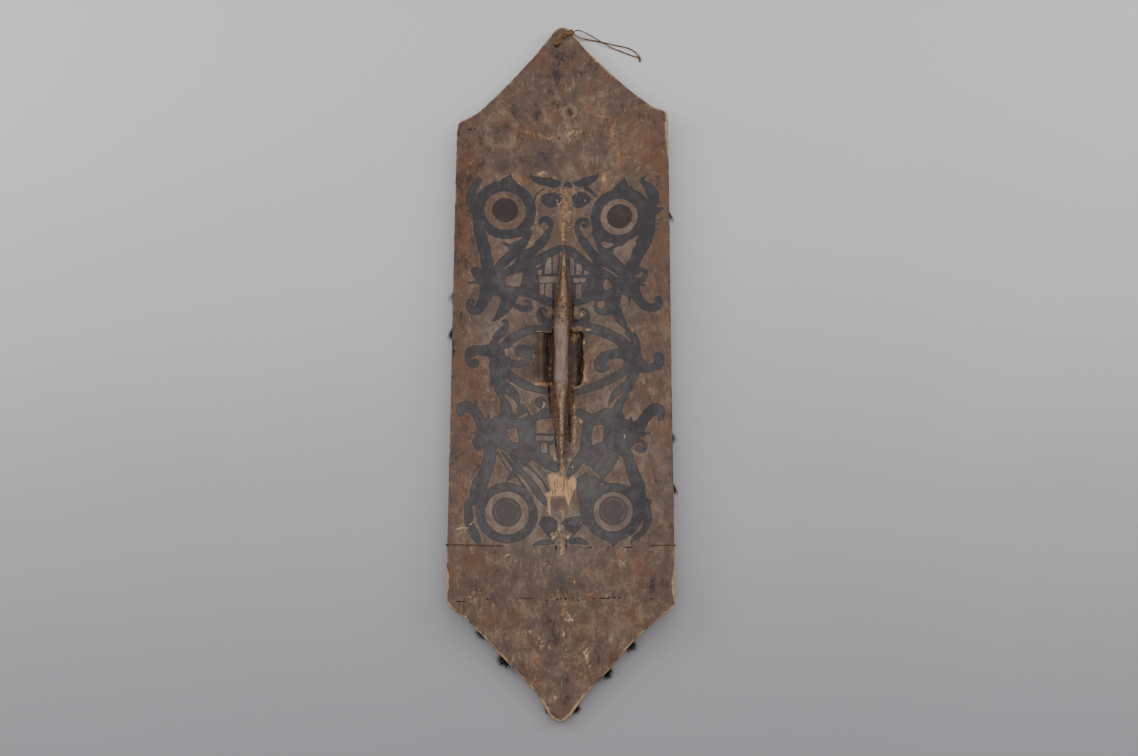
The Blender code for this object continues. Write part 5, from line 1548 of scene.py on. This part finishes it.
# 0 at low and 1 at high, smooth between, or toLow and toHigh
def stepBetween(tree, value, low, high, toLow=0.0, toHigh=1.0):
    inputs = {"Value": value, "From Min": low, "From Max": high, "To Min": toLow, "To Max": toHigh}
    return addNode(tree, "ShaderNodeMapRange", {"interpolation_type": "SMOOTHSTEP"}, inputs).outputs[0]


def mixColours(tree, factor, a, b):
    node = addNode(tree, "ShaderNodeMix", {"data_type": "RGBA"})
    for index, value in ((0, factor), (6, a), (7, b)):
        feed(tree, node.inputs[index], value)
    return node.outputs[2]


# Tones laid over a ground in turn, each where its mask is
def layOver(tree, colour, *coats):
    for mask, tone in coats:
        colour = mixColours(tree, mask, colour, tone)
    return colour


def readField(tree, name):
    return addNode(tree, "ShaderNodeAttribute", {"attribute_name": name}).outputs["Fac"]


# Noise in the piece's own coordinates, in metres, scaled by Across in X and Z and by Along in Y
def noiseIn(group, source, **values):
    point = group.nodes.new("ShaderNodeTexCoord").outputs["Object"]
    across, along = source.outputs["Across"], source.outputs["Along"]
    scale = addNode(group, "ShaderNodeCombineXYZ", None, {"X": across, "Y": along, "Z": across})
    spot = addNode(group, "ShaderNodeVectorMath", {"operation": "MULTIPLY"}, {0: point, 1: scale.outputs[0]})
    values = {"Vector": spot.outputs[0], "Scale": 1.0, **values}
    return addNode(group, "ShaderNodeTexNoise", None, values).outputs["Fac"]


def newGroup(name, inputs, outputs):
    group = bpy.data.node_groups.new(name, "ShaderNodeTree")
    for label, value in inputs:
        socket = group.interface.new_socket(name=label, in_out="INPUT", socket_type="NodeSocketFloat")
        socket.default_value = value
    for label in outputs:
        group.interface.new_socket(name=label, in_out="OUTPUT", socket_type="NodeSocketFloat")
    return group, group.nodes.new("NodeGroupInput"), group.nodes.new("NodeGroupOutput")


# Streaks along the grain. Across and Along are how many fit in a metre.
def grainGroup():
    inputs = (("Across", 500.0), ("Along", 30.0), ("Detail", 5.0), ("Distortion", 0.3))
    group, source, sink = newGroup("wood grain", inputs, ("Streak",))
    streak = noiseIn(group, source, Detail=source.outputs["Detail"], Roughness=0.6,
                     Distortion=source.outputs["Distortion"])
    group.links.new(streak, sink.inputs["Streak"])
    return group


# Uneven patches: 0 below Low and 1 above High, and Raw is the noise before that
def patchGroup():
    inputs = (("Across", 20.0), ("Along", 16.0), ("Detail", 5.0), ("Low", 0.4), ("High", 0.6))
    group, source, sink = newGroup("uneven patches", inputs, ("Patch", "Raw"))
    raw = noiseIn(group, source, Detail=source.outputs["Detail"], Roughness=0.62, Distortion=0.35)
    patch = stepBetween(group, raw, source.outputs["Low"], source.outputs["High"])
    group.links.new(patch, sink.inputs["Patch"])
    group.links.new(raw, sink.inputs["Raw"])
    return group


# Fine hairline scratches that run every way but mostly along the board
def scratchGroup():
    inputs = (("Across", 60.0), ("Along", 40.0), ("Width", 0.03))
    group, source, sink = newGroup("scratches", inputs, ("Scratch",))
    swirl = noiseIn(group, source, Scale=0.35, Detail=2.0, Distortion=1.2)
    near = calc(group, "ABSOLUTE", calc(group, "SUBTRACT", swirl, 0.5))
    line = stepBetween(group, near, source.outputs["Width"], 0.0)
    broken = stepBetween(group, noiseIn(group, source, Scale=2.3, Detail=2.0), 0.54, 0.64)
    group.links.new(times(group, line, broken), sink.inputs["Scratch"])
    return group


grain = grainGroup()
patches = patchGroup()
scratches = scratchGroup()


def place(tree, group, **values):
    node = tree.nodes.new("ShaderNodeGroup")
    node.node_tree = group
    for name, value in values.items():
        node.inputs[name].default_value = value
    return node.outputs


def newMaterial(name, roughness, specular=0.5):
    material = bpy.data.materials.new(name)
    material.use_nodes = True
    shader = material.node_tree.nodes["Principled BSDF"]
    shader.inputs["Roughness"].default_value = roughness
    shader.inputs["Specular IOR Level"].default_value = specular
    return material, material.node_tree, shader


def finishSurface(tree, shader, colour, roughness, height, strength, distance):
    relief = {"Strength": strength, "Distance": distance, "Height": height}
    normal = addNode(tree, "ShaderNodeBump", None, relief).outputs["Normal"]
    for name, socket in (("Base Color", colour), ("Roughness", roughness), ("Normal", normal)):
        tree.links.new(socket, shader.inputs[name])


# Colours of the handle side
handleSide = {
    "dark": srgb(0.212, 0.176, 0.162),
    "ground": srgb(0.358, 0.285, 0.243),
    "light": srgb(0.465, 0.385, 0.322),
    "red": srgb(0.400, 0.272, 0.206),
    "grey": srgb(0.315, 0.275, 0.252),
    "rust": srgb(0.500, 0.375, 0.275),
    "orange": srgb(0.570, 0.430, 0.305),
    # dark grime, and the painted shade that the tone field lays on the handle's flanks
    "grimeAndShade": srgb(0.125, 0.092, 0.080),
    "paint": srgb(0.206, 0.200, 0.213),
    "outline": srgb(0.165, 0.160, 0.166),
    "fadedPaint": srgb(0.342, 0.308, 0.298),
    "coolPaint": srgb(0.318, 0.318, 0.328),
    "eye": srgb(0.200, 0.164, 0.168),
    "fadedEye": srgb(0.282, 0.256, 0.256),
    "raw": srgb(0.705, 0.570, 0.435),
    "rawDark": srgb(0.430, 0.290, 0.180),
    "pale": srgb(0.680, 0.575, 0.450),
    "haze": srgb(0.530, 0.488, 0.468),
    # near black: stains and holes, and painted shade in slits and creases
    "stainAndShade": srgb(0.060, 0.045, 0.040),
    # the dark and the lighter tone of the shade painted in the finger hollow
    "inner": srgb(0.145, 0.113, 0.095),
    "hollowShadeLight": srgb(0.320, 0.243, 0.192),
    # paler crest of the handle, partly a painted highlight
    "crest": srgb(0.670, 0.575, 0.475),
    "flank": srgb(0.310, 0.230, 0.180),
    "gripDark": srgb(0.400, 0.325, 0.290),
    "grip": srgb(0.540, 0.460, 0.418),
    # pale rim: bare wood, and painted highlight along the slanted ends
    "edge": srgb(0.645, 0.545, 0.420),
}

# The front: plainer, dark stained wood with a border and four painted rings
front = {
    "dark": srgb(0.170, 0.130, 0.112),
    "ground": srgb(0.270, 0.195, 0.155),
    "light": srgb(0.380, 0.285, 0.225),
    "red": srgb(0.340, 0.205, 0.145),
    "grey": srgb(0.250, 0.215, 0.195),
    "rust": srgb(0.460, 0.290, 0.180),
    "pale": srgb(0.520, 0.420, 0.320),
    "paint": srgb(0.130, 0.120, 0.122),
    "edge": srgb(0.540, 0.420, 0.300),
    "ringPlace": (0.095, 0.250),
    "ringRadii": (0.024, 0.036, 0.052),           # of the disc, and the inside and outside of the ring
    "ringSoft": 0.001,
}

# The noises that both sides share: how many fit in a metre across and along, and detail
noiseSizes = {
    "big": (17.0, 12.0, 7.0),
    "middle": (60.0, 48.0, 7.0),
    "small": (230.0, 170.0, 5.0),
    "hue": (34.0, 22.0, 6.0),
    "fleck": (150.0, 90.0, 6.0),
    "speck": (420.0, 300.0, 3.0),
}

# How much each noise lightens and darkens bare wood
groundSways = {"big": 2.1, "middle": 3.7, "small": 2.3, "fine": 0.8, "broad": 1.0}

# Radii of the rings worn in the lower eyes, in millimetres
eyeRings = {"outerRing": 19.6, "innerRing": 9.5}

# Spans of noise, strength or distance over which a look comes in, and how much of it shows at the two ends
spans = {
    "light": (0.0, 1.1), "dark": (0.0, -1.1), "red": (0.0, 1.3, 0.0, 0.75), "grey": (0.0, -1.2, 0.0, 0.75),
    "haze": (0.34, 0.62, 0.14, 0.34), "paintEdge": (0.5, -0.5), "paintWorn": (0.62, 0.76),
    "paintThin": (0.36, 0.66, 0.98, 0.88), "paintCool": (0.40, 0.60), "paintFaded": (-0.2, 1.1),
    "outline": (1.4, 0.2), "outlineFaded": (0.0, 0.9, 0.2, 0.55), "outlineBroken": (0.36, 0.60, 0.3, 1.0),
    "paleLine": (1.2, 0.2), "paleLineFaded": (0.1, 0.9, 0.05, 0.2), "eyeEdge": (0.7, -0.7),
    "lowerEye": (32.0, 30.0), "outerRing": (2.2, 0.6), "innerRing": (2.4, 0.4),
    "ringBroken": (0.40, 0.60, 0.05, 0.42), "flankGrain": (0.4, 0.7), "crestGrain": (0.36, 0.60),
    "gripGrain": (0.30, 0.66), "gripStreaks": (0.50, 0.30, 0.0, 0.4), "grip": (0.35, 0.75),
    "handleMottle": (0.0, -1.0, 0.0, 0.48), "handleRust": (0.51, 0.60, 0.0, 0.6),
    "handleGrime": (0.49, 0.40, 0.0, 0.6), "gripRust": (0.53, 0.64, 0.0, 0.3), "hollowGrain": (0.42, 0.68),
    "hollowSpecks": (0.53, 0.64, 0.0, 0.45), "rawEdge": (0.5, -0.5), "rawGrain": (0.30, 0.58),
    "rubbedRimAndHighlight": (0.6, -0.9), "roughWood": (0.0, 1.0, 0.62, 0.88), "borderInner": (9.0, 10.0),
    "borderOuter": (18.0, 17.0), "frontPaintWorn": (0.70, 0.52, 0.35, 0.92),
    "frontRim": (1.0, -1.0, 0.0, 0.7), "frontRough": (0.3, 0.7, 0.52, 0.70),
    "rimRust": (0.42, 0.64, 0.0, 0.6),
}

# Marks that noise breaks up: the noise, how strongly it works, the strengths at which the mark begins and is
# full, and how much of the surface it hides at most
brokenMarks = {
    "rust": ("fleck", 4.0, 0.50, 1.00, 0.8),
    "frontRust": ("fleck", 4.6, 0.50, 0.95, 0.8),
    "dirtAndShade": ("speck", 3.0, 0.50, 0.85, 0.5),
    "eyeWear": ("middle", 4.0, 0.0, 1.0, 0.5),
    "torn": ("small", 2.4, 0.62, 1.15, 0.9),
    "paleFleckMark": ("small", 3.4, 0.62, 1.15, 0.9),
    "stainAndShade": ("small", 2.2, 0.42, 0.95, 0.92),
}


def agedNoises(tree, along):
    noises = {}
    for name, (acrossCount, alongCount, detail) in noiseSizes.items():
        node = place(tree, patches, Across=acrossCount, Along=alongCount, Detail=detail, Low=0.40, High=0.62)
        noises[name] = node["Raw"]
    noises["fine"] = place(tree, grain, Across=620.0, Along=along, Detail=6.0, Distortion=0.25)["Streak"]
    noises["broad"] = place(tree, grain, Across=150.0, Along=along / 3, Detail=5.0, Distortion=0.5)["Streak"]
    return noises


def spanOf(tree, value, name):
    return stepBetween(tree, value, *spans[name])


def brokenMark(tree, strength, noises, name):
    noise, sways, low, high, most = brokenMarks[name]
    return stepBetween(tree, addUp(tree, strength, sway(tree, noises[noise], sways)), low, high, 0.0, most)


# Bare wood with its dirt and wear. Tone lightens or darkens it and red makes it redder or greyer.
def agedGround(tree, tones, noises, tone, red):
    value = addUp(tree, tone, 0.08, *[sway(tree, noises[name], much) for name, much in groundSways.items()])
    hue = addUp(tree, red, sway(tree, noises["hue"], 4.2), sway(tree, noises["fleck"], 2.8))
    return layOver(tree, tones["ground"],
                   (spanOf(tree, value, "light"), tones["light"]),
                   (spanOf(tree, value, "dark"), tones["dark"]),
                   (spanOf(tree, hue, "red"), tones["red"]),
                   (spanOf(tree, hue, "grey"), tones["grey"]))


def scratched(tree, colour, tone):
    line = place(tree, scratches, Across=70.0, Along=34.0, Width=0.012)["Scratch"]
    return mixColours(tree, times(tree, line, 0.4), colour, tone)


# Paint, worn in specks and thinner in places, with a darker outline and a thin pale line round it
def layPaint(tree, tones, noises, colour):
    small, middle = noises["small"], noises["middle"]
    fromPaint = readField(tree, "paint")
    painted = spanOf(tree, addUp(tree, fromPaint, sway(tree, small, 1.1)), "paintEdge")
    worn = spanOf(tree, addUp(tree, noises["speck"], sway(tree, noises["hue"], 0.5)), "paintWorn")
    thin = spanOf(tree, middle, "paintThin")
    strength = times(tree, painted, calc(tree, "SUBTRACT", thin, times(tree, worn, 0.45)))
    fade = addUp(tree, readField(tree, "fade"), sway(tree, middle, 1.6), sway(tree, small, 1.0))
    faded = mixColours(tree, spanOf(tree, middle, "paintCool"), tones["fadedPaint"], tones["coolPaint"])
    coat = mixColours(tree, spanOf(tree, fade, "paintFaded"), tones["paint"], faded)
    inside = calc(tree, "ABSOLUTE", addUp(tree, fromPaint, 1.0, sway(tree, small, 1.4)))
    outline = times(tree, spanOf(tree, inside, "outline"), spanOf(tree, fade, "outlineFaded"))
    outline = times(tree, outline, spanOf(tree, middle, "outlineBroken"))
    coat = mixColours(tree, outline, coat, tones["outline"])
    outside = calc(tree, "ABSOLUTE", addUp(tree, fromPaint, -2.0, sway(tree, small, 1.4)))
    paleLine = times(tree, spanOf(tree, outside, "paleLine"), spanOf(tree, fade, "paleLineFaded"))
    return layOver(tree, colour, (paleLine, tones["haze"]), (strength, coat)), strength


# Discs of the eyes, the lower two worn lighter in rings
def layEyes(tree, tones, noises, colour, ragged):
    middle = noises["middle"]
    eye = spanOf(tree, addUp(tree, readField(tree, "eye"), ragged), "eyeEdge")
    away = addUp(tree, readField(tree, "eyeAway"), sway(tree, noises["small"], 2.0))
    lowerEye = spanOf(tree, away, "lowerEye")
    rings = []
    for name, radius in eyeRings.items():
        rings.append(spanOf(tree, calc(tree, "ABSOLUTE", calc(tree, "SUBTRACT", away, radius)), name))
    ring = calc(tree, "MAXIMUM", rings[0], times(tree, rings[1], 0.4))
    ring = times(tree, ring, spanOf(tree, middle, "ringBroken"))
    pupil = mixColours(tree, ring, tones["fadedEye"], tones["light"])
    eyeTone = layOver(tree, tones["eye"], (lowerEye, pupil),
                      (brokenMark(tree, 0.0, noises, "eyeWear"), tones["fadedEye"]))
    return mixColours(tree, times(tree, eye, 0.92), colour, eyeTone)


# The handle: brown flanks, a paler crest that is partly rubbed wear and partly painted highlight, and a
# smooth grip
def layHandle(tree, tones, noises, colour, tone):
    fine, broad, speck = noises["fine"], noises["broad"], noises["speck"]
    small, middle = noises["small"], noises["middle"]
    flankTone = mixColours(tree, spanOf(tree, fine, "flankGrain"), tones["flank"], tones["ground"])
    crestTone = mixColours(tree, spanOf(tree, broad, "crestGrain"), tones["flank"], tones["crest"])
    gripTone = mixColours(tree, spanOf(tree, broad, "gripGrain"), tones["gripDark"], tones["grip"])
    gripTone = mixColours(tree, spanOf(tree, fine, "gripStreaks"), gripTone, tones["flank"])
    # the mottle darkens where the tone field does, so the painted shade at the handle's feet carries on up
    # its flanks
    mottle = addUp(tree, times(tree, tone, 0.6), sway(tree, middle, 2.4), sway(tree, small, 2.8))
    grip = addUp(tree, readField(tree, "grip"), sway(tree, small, 2.0), sway(tree, middle, 1.4))
    grip = spanOf(tree, grip, "grip")
    handleTone = layOver(tree, flankTone, (readField(tree, "rubbedAndHighlit"), crestTone),
                         (spanOf(tree, mottle, "handleMottle"), tones["grimeAndShade"]),
                         (spanOf(tree, speck, "handleRust"), tones["rust"]),
                         (spanOf(tree, speck, "handleGrime"), tones["grimeAndShade"]),
                         (grip, gripTone),
                         (spanOf(tree, speck, "gripRust"), tones["rust"]))
    return mixColours(tree, times(tree, readField(tree, "crest"), 0.95), colour, handleTone), grip


def makeHandleSide():
    material, tree, shader = newMaterial("painted handle side", 0.62, 0.18)
    tones = handleSide
    noises = agedNoises(tree, 60.0)
    fine, small, middle = noises["fine"], noises["small"], noises["middle"]
    ragged = sway(tree, small, 1.8)
    orange = readField(tree, "orange")
    tone = readField(tree, "tone")
    # the dark dirt follows the tone field a little, and with it the painted shade beside the handle
    colour = layOver(tree, agedGround(tree, tones, noises, tone, readField(tree, "red")),
                     (brokenMark(tree, orange, noises, "rust"), tones["rust"]),
                     (brokenMark(tree, times(tree, tone, -0.2), noises, "dirtAndShade"), tones["grimeAndShade"]))
    colour = scratched(tree, colour, tones["pale"])
    haze = times(tree, readField(tree, "haze"), spanOf(tree, middle, "haze"))
    colour = mixColours(tree, haze, colour, tones["haze"])
    colour, strength = layPaint(tree, tones, noises, colour)
    colour = layEyes(tree, tones, noises, colour, ragged)
    colour, grip = layHandle(tree, tones, noises, colour, tone)

    # painted shade in the finger hollow, torn orange wood and raw wood
    hollowPaintedShade = readField(tree, "hollowPaintedShade")
    inner = mixColours(tree, spanOf(tree, fine, "hollowGrain"), tones["inner"], tones["hollowShadeLight"])
    inner = mixColours(tree, spanOf(tree, noises["speck"], "hollowSpecks"), inner, tones["flank"])
    torn = brokenMark(tree, addUp(tree, orange, sway(tree, fine, 1.4)), noises, "torn")
    fibrous = addUp(tree, ragged, sway(tree, fine, 2.6))
    raw = spanOf(tree, addUp(tree, readField(tree, "raw"), times(tree, fibrous, 1.7)), "rawEdge")
    rawTone = mixColours(tree, spanOf(tree, fine, "rawGrain"), tones["rawDark"], tones["raw"])

    # pale flecks with a painted highlight down the handle's crest, dark holes and stains with painted shade
    # beside the handle, and the paler rim, partly rubbed bare and partly painted highlight
    paleFlecks = brokenMark(tree, addUp(tree, readField(tree, "pale"), sway(tree, fine, 1.4)), noises, "paleFleckMark")
    stainedAndShaded = brokenMark(tree, readField(tree, "stainAndShade"), noises, "stainAndShade")
    limit = addUp(tree, times(tree, readField(tree, "rim"), 3.6), sway(tree, middle, 12.0),
                  sway(tree, small, 4.0))
    rubbedRimAndHighlight = spanOf(tree, calc(tree, "SUBTRACT", readField(tree, "edge"), limit), "rubbedRimAndHighlight")
    rusted = spanOf(tree, noises["fleck"], "rimRust")
    rimWearAndHighlightTone = mixColours(tree, rusted, tones["edge"], tones["rust"])
    colour = layOver(tree, colour, (times(tree, hollowPaintedShade, 0.92), inner), (torn, tones["orange"]), (raw, rawTone),
                     (paleFlecks, tones["pale"]), (stainedAndShaded, tones["stainAndShade"]),
                     (times(tree, rubbedRimAndHighlight, 0.86), rimWearAndHighlightTone))

    rough = spanOf(tree, calc(tree, "ADD", raw, hollowPaintedShade), "roughWood")
    rough = addUp(tree, rough, times(tree, grip, -0.14), sway(tree, small, 0.25))
    relief = ((fine, 0.8), (strength, 0.10), (small, 0.9), (middle, 1.4), (paleFlecks, -0.25), (stainedAndShaded, -0.35))
    height = addUp(tree, *[times(tree, source, much) for source, much in relief])
    finishSurface(tree, shader, colour, rough, height, 0.6, 0.0009)
    return material


def makeFront():
    material, tree, shader = newMaterial("painted front", 0.58, 0.3)
    noises = agedNoises(tree, 34.0)
    small, middle, fine = noises["small"], noises["middle"], noises["fine"]
    colour = agedGround(tree, front, noises, 0.0, 0.1)
    colour = mixColours(tree, brokenMark(tree, 0.0, noises, "frontRust"), colour, front["rust"])
    colour = scratched(tree, colour, front["pale"])
    # distance from the middle of the nearest ring
    point = tree.nodes.new("ShaderNodeTexCoord").outputs["Object"]
    split = addNode(tree, "ShaderNodeSeparateXYZ", None, {0: point}).outputs
    squares = []
    for axis, middleOfRing in zip("XY", front["ringPlace"]):
        away = calc(tree, "SUBTRACT", calc(tree, "ABSOLUTE", split[axis]), middleOfRing)
        squares.append(times(tree, away, away))
    away = addUp(tree, calc(tree, "SQRT", addUp(tree, *squares)), sway(tree, small, 0.005))
    inner, gap, outer = front["ringRadii"]
    soft = front["ringSoft"]
    disc = stepBetween(tree, away, inner + soft, inner - soft)
    ring = times(tree, stepBetween(tree, away, gap - soft, gap + soft),
                 stepBetween(tree, away, outer + soft, outer - soft))
    edge = readField(tree, "edge")
    border = times(tree, spanOf(tree, edge, "borderInner"), spanOf(tree, edge, "borderOuter"))
    mark = calc(tree, "MAXIMUM", calc(tree, "MAXIMUM", disc, ring), border)
    mark = times(tree, mark, spanOf(tree, small, "frontPaintWorn"))
    worn = addUp(tree, edge, sway(tree, middle, 12.0), sway(tree, small, 4.0))
    colour = layOver(tree, colour, (mark, front["paint"]),
                     (spanOf(tree, worn, "frontRim"), front["edge"]))
    rough = spanOf(tree, fine, "frontRough")
    height = addUp(tree, fine, times(tree, middle, 1.2))
    finishSurface(tree, shader, colour, rough, height, 0.5, 0.0009)
    return material


# Fibrous materials in two tones: dark, light, roughness, fibres in a metre across and along, depth of the
# relief, and how much they gleam
fibres = {
    "dark cane": (srgb(0.215, 0.145, 0.118), srgb(0.40, 0.275, 0.215), 0.45, 260.0, 900.0, 0.0002, 0.4),
    "old cane": (srgb(0.055, 0.038, 0.034), srgb(0.15, 0.095, 0.075), 0.6, 260.0, 900.0, 0.0002, 0.4),
    "bark twine": (srgb(0.250, 0.178, 0.113), srgb(0.540, 0.410, 0.273), 0.80, 900.0, 900.0, 0.0003, 0.2),
    "black hair": (srgb(0.020, 0.017, 0.016), srgb(0.055, 0.048, 0.045), 0.55, 700.0, 120.0, 0.0001, 0.2),
}


def makeFibre(name):
    dark, light, roughness, across, along, relief, gleam = fibres[name]
    material, tree, shader = newMaterial(name, roughness, gleam)
    streak = place(tree, grain, Across=across, Along=along, Detail=4.0, Distortion=0.4)["Streak"]
    worn = place(tree, patches, Across=130.0, Along=130.0, Detail=3.0, Low=0.35, High=0.65)["Patch"]
    tone = addUp(tree, times(tree, streak, 0.7), times(tree, worn, 0.3))
    colour = mixColours(tree, stepBetween(tree, tone, 0.30, 0.70), dark, light)
    rough = stepBetween(tree, tone, 0.3, 0.7, roughness - 0.08, roughness + 0.08)
    finishSurface(tree, shader, colour, rough, streak, 0.5, relief)
    return material


backFinish = makeHandleSide()
frontFinish = makeFront()
caneFinish = makeFibre("dark cane")
stitchFinish = makeFibre("old cane")
twineFinish = makeFibre("bark twine")
hairFinish = makeFibre("black hair")
print("finishes mixed")

shieldBoard = makeBoard(backFinish, frontFinish)
markBoard(shieldBoard)
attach(shieldBoard, "root")
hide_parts("shield_board")
print("board carved:", sum(len(face.vertices) - 2 for face in shieldBoard.data.polygons), "triangles")

for row in range(len(board["caneRows"])):
    makeCane(row, caneFinish)
makeStitches(stitchFinish)
makeLashing(twineFinish)
for piece in [knot] + loopStrands:
    piece.data.materials.append(twineFinish)
print("cane and twine fitted")

for index, tuft in enumerate(tufts["rows"]):
    makeTuft(index, *tuft, hairFinish)
print("hair fixed")


# Studio
studio = {
    "floor": srgb(0.790, 0.778, 0.787),
    # the floor is painted darker towards -Y, from floor down to this colour: a painted shade
    "floorPaintedShade": srgb(0.590, 0.580, 0.594),
    "floorHalf": 40.0,
    "floorZ": -0.0002,
    "world": 0.34,
    "skylight": 1.6,           # even light from overhead
    "skylightDeg": 90.0,       # how wide that light is spread
    "skylightTiltDeg": -12.0,
    # three soft lamps: place, size, power
    "lights": (((-2.1, 0.7, 1.4), 1.1, 23.0), ((2.1, 0.6, 1.4), 1.1, 16.0), ((0.1, 2.6, 2.3), 1.5, 12.0)),
}


def makeFloor():
    material, tree, shader = newMaterial("pale floor", 0.85, 0.2)
    blotch = place(tree, patches, Across=2.0, Along=2.0, Detail=3.0, Low=0.3, High=0.7)["Raw"]
    point = tree.nodes.new("ShaderNodeTexCoord").outputs["Object"]
    along = addNode(tree, "ShaderNodeSeparateXYZ", None, {0: point}).outputs["Y"]
    # painted shade: the floor grows darker from +0.6 m to -0.8 m in Y
    shade = stepBetween(tree, addUp(tree, along, sway(tree, blotch, 0.2)), 0.6, -0.8)
    colour = mixColours(tree, shade, studio["floor"], studio["floorPaintedShade"])
    rough = stepBetween(tree, blotch, 0.3, 0.7, 0.80, 0.88)
    finishSurface(tree, shader, colour, rough, blotch, 0.05, 0.0005)
    half = studio["floorHalf"]
    corners = [(x * half, y * half, studio["floorZ"]) for x, y in ((-1, -1), (1, -1), (1, 1), (-1, 1))]
    floor = makePiece("floor", corners, [(0, 1, 2, 3)], material, smooth=False)


def addLamp(name, kind, power, settings, turn, spot=(0.0, 0.0, 0.0)):
    data = bpy.data.lights.new(name, kind)
    data.energy = power
    for setting, value in settings.items():
        setattr(data, setting, value)
    lamp = bpy.data.objects.new(name, data)
    lamp.location = spot
    lamp.rotation_euler = turn
    bpy.context.scene.collection.objects.link(lamp)


def makeLights():
    for index, (spot, size, power) in enumerate(studio["lights"]):
        turn = (-Vector(spot)).to_track_quat("-Z", "Y").to_euler()
        addLamp(f"soft_light_{index + 1}", "AREA", power, {"shape": "SQUARE", "size": size}, turn, spot)
    turn = (math.radians(studio["skylightTiltDeg"]), 0.0, 0.0)
    addLamp("skylight", "SUN", studio["skylight"], {"angle": math.radians(studio["skylightDeg"])}, turn)
    world = bpy.data.worlds.new("studio")
    world.use_nodes = True
    background = world.node_tree.nodes["Background"]
    background.inputs["Color"].default_value = (1.0, 1.0, 1.0, 1.0)
    background.inputs["Strength"].default_value = studio["world"]
    bpy.context.scene.world = world


makeFloor()
makeLights()
print("studio lit")
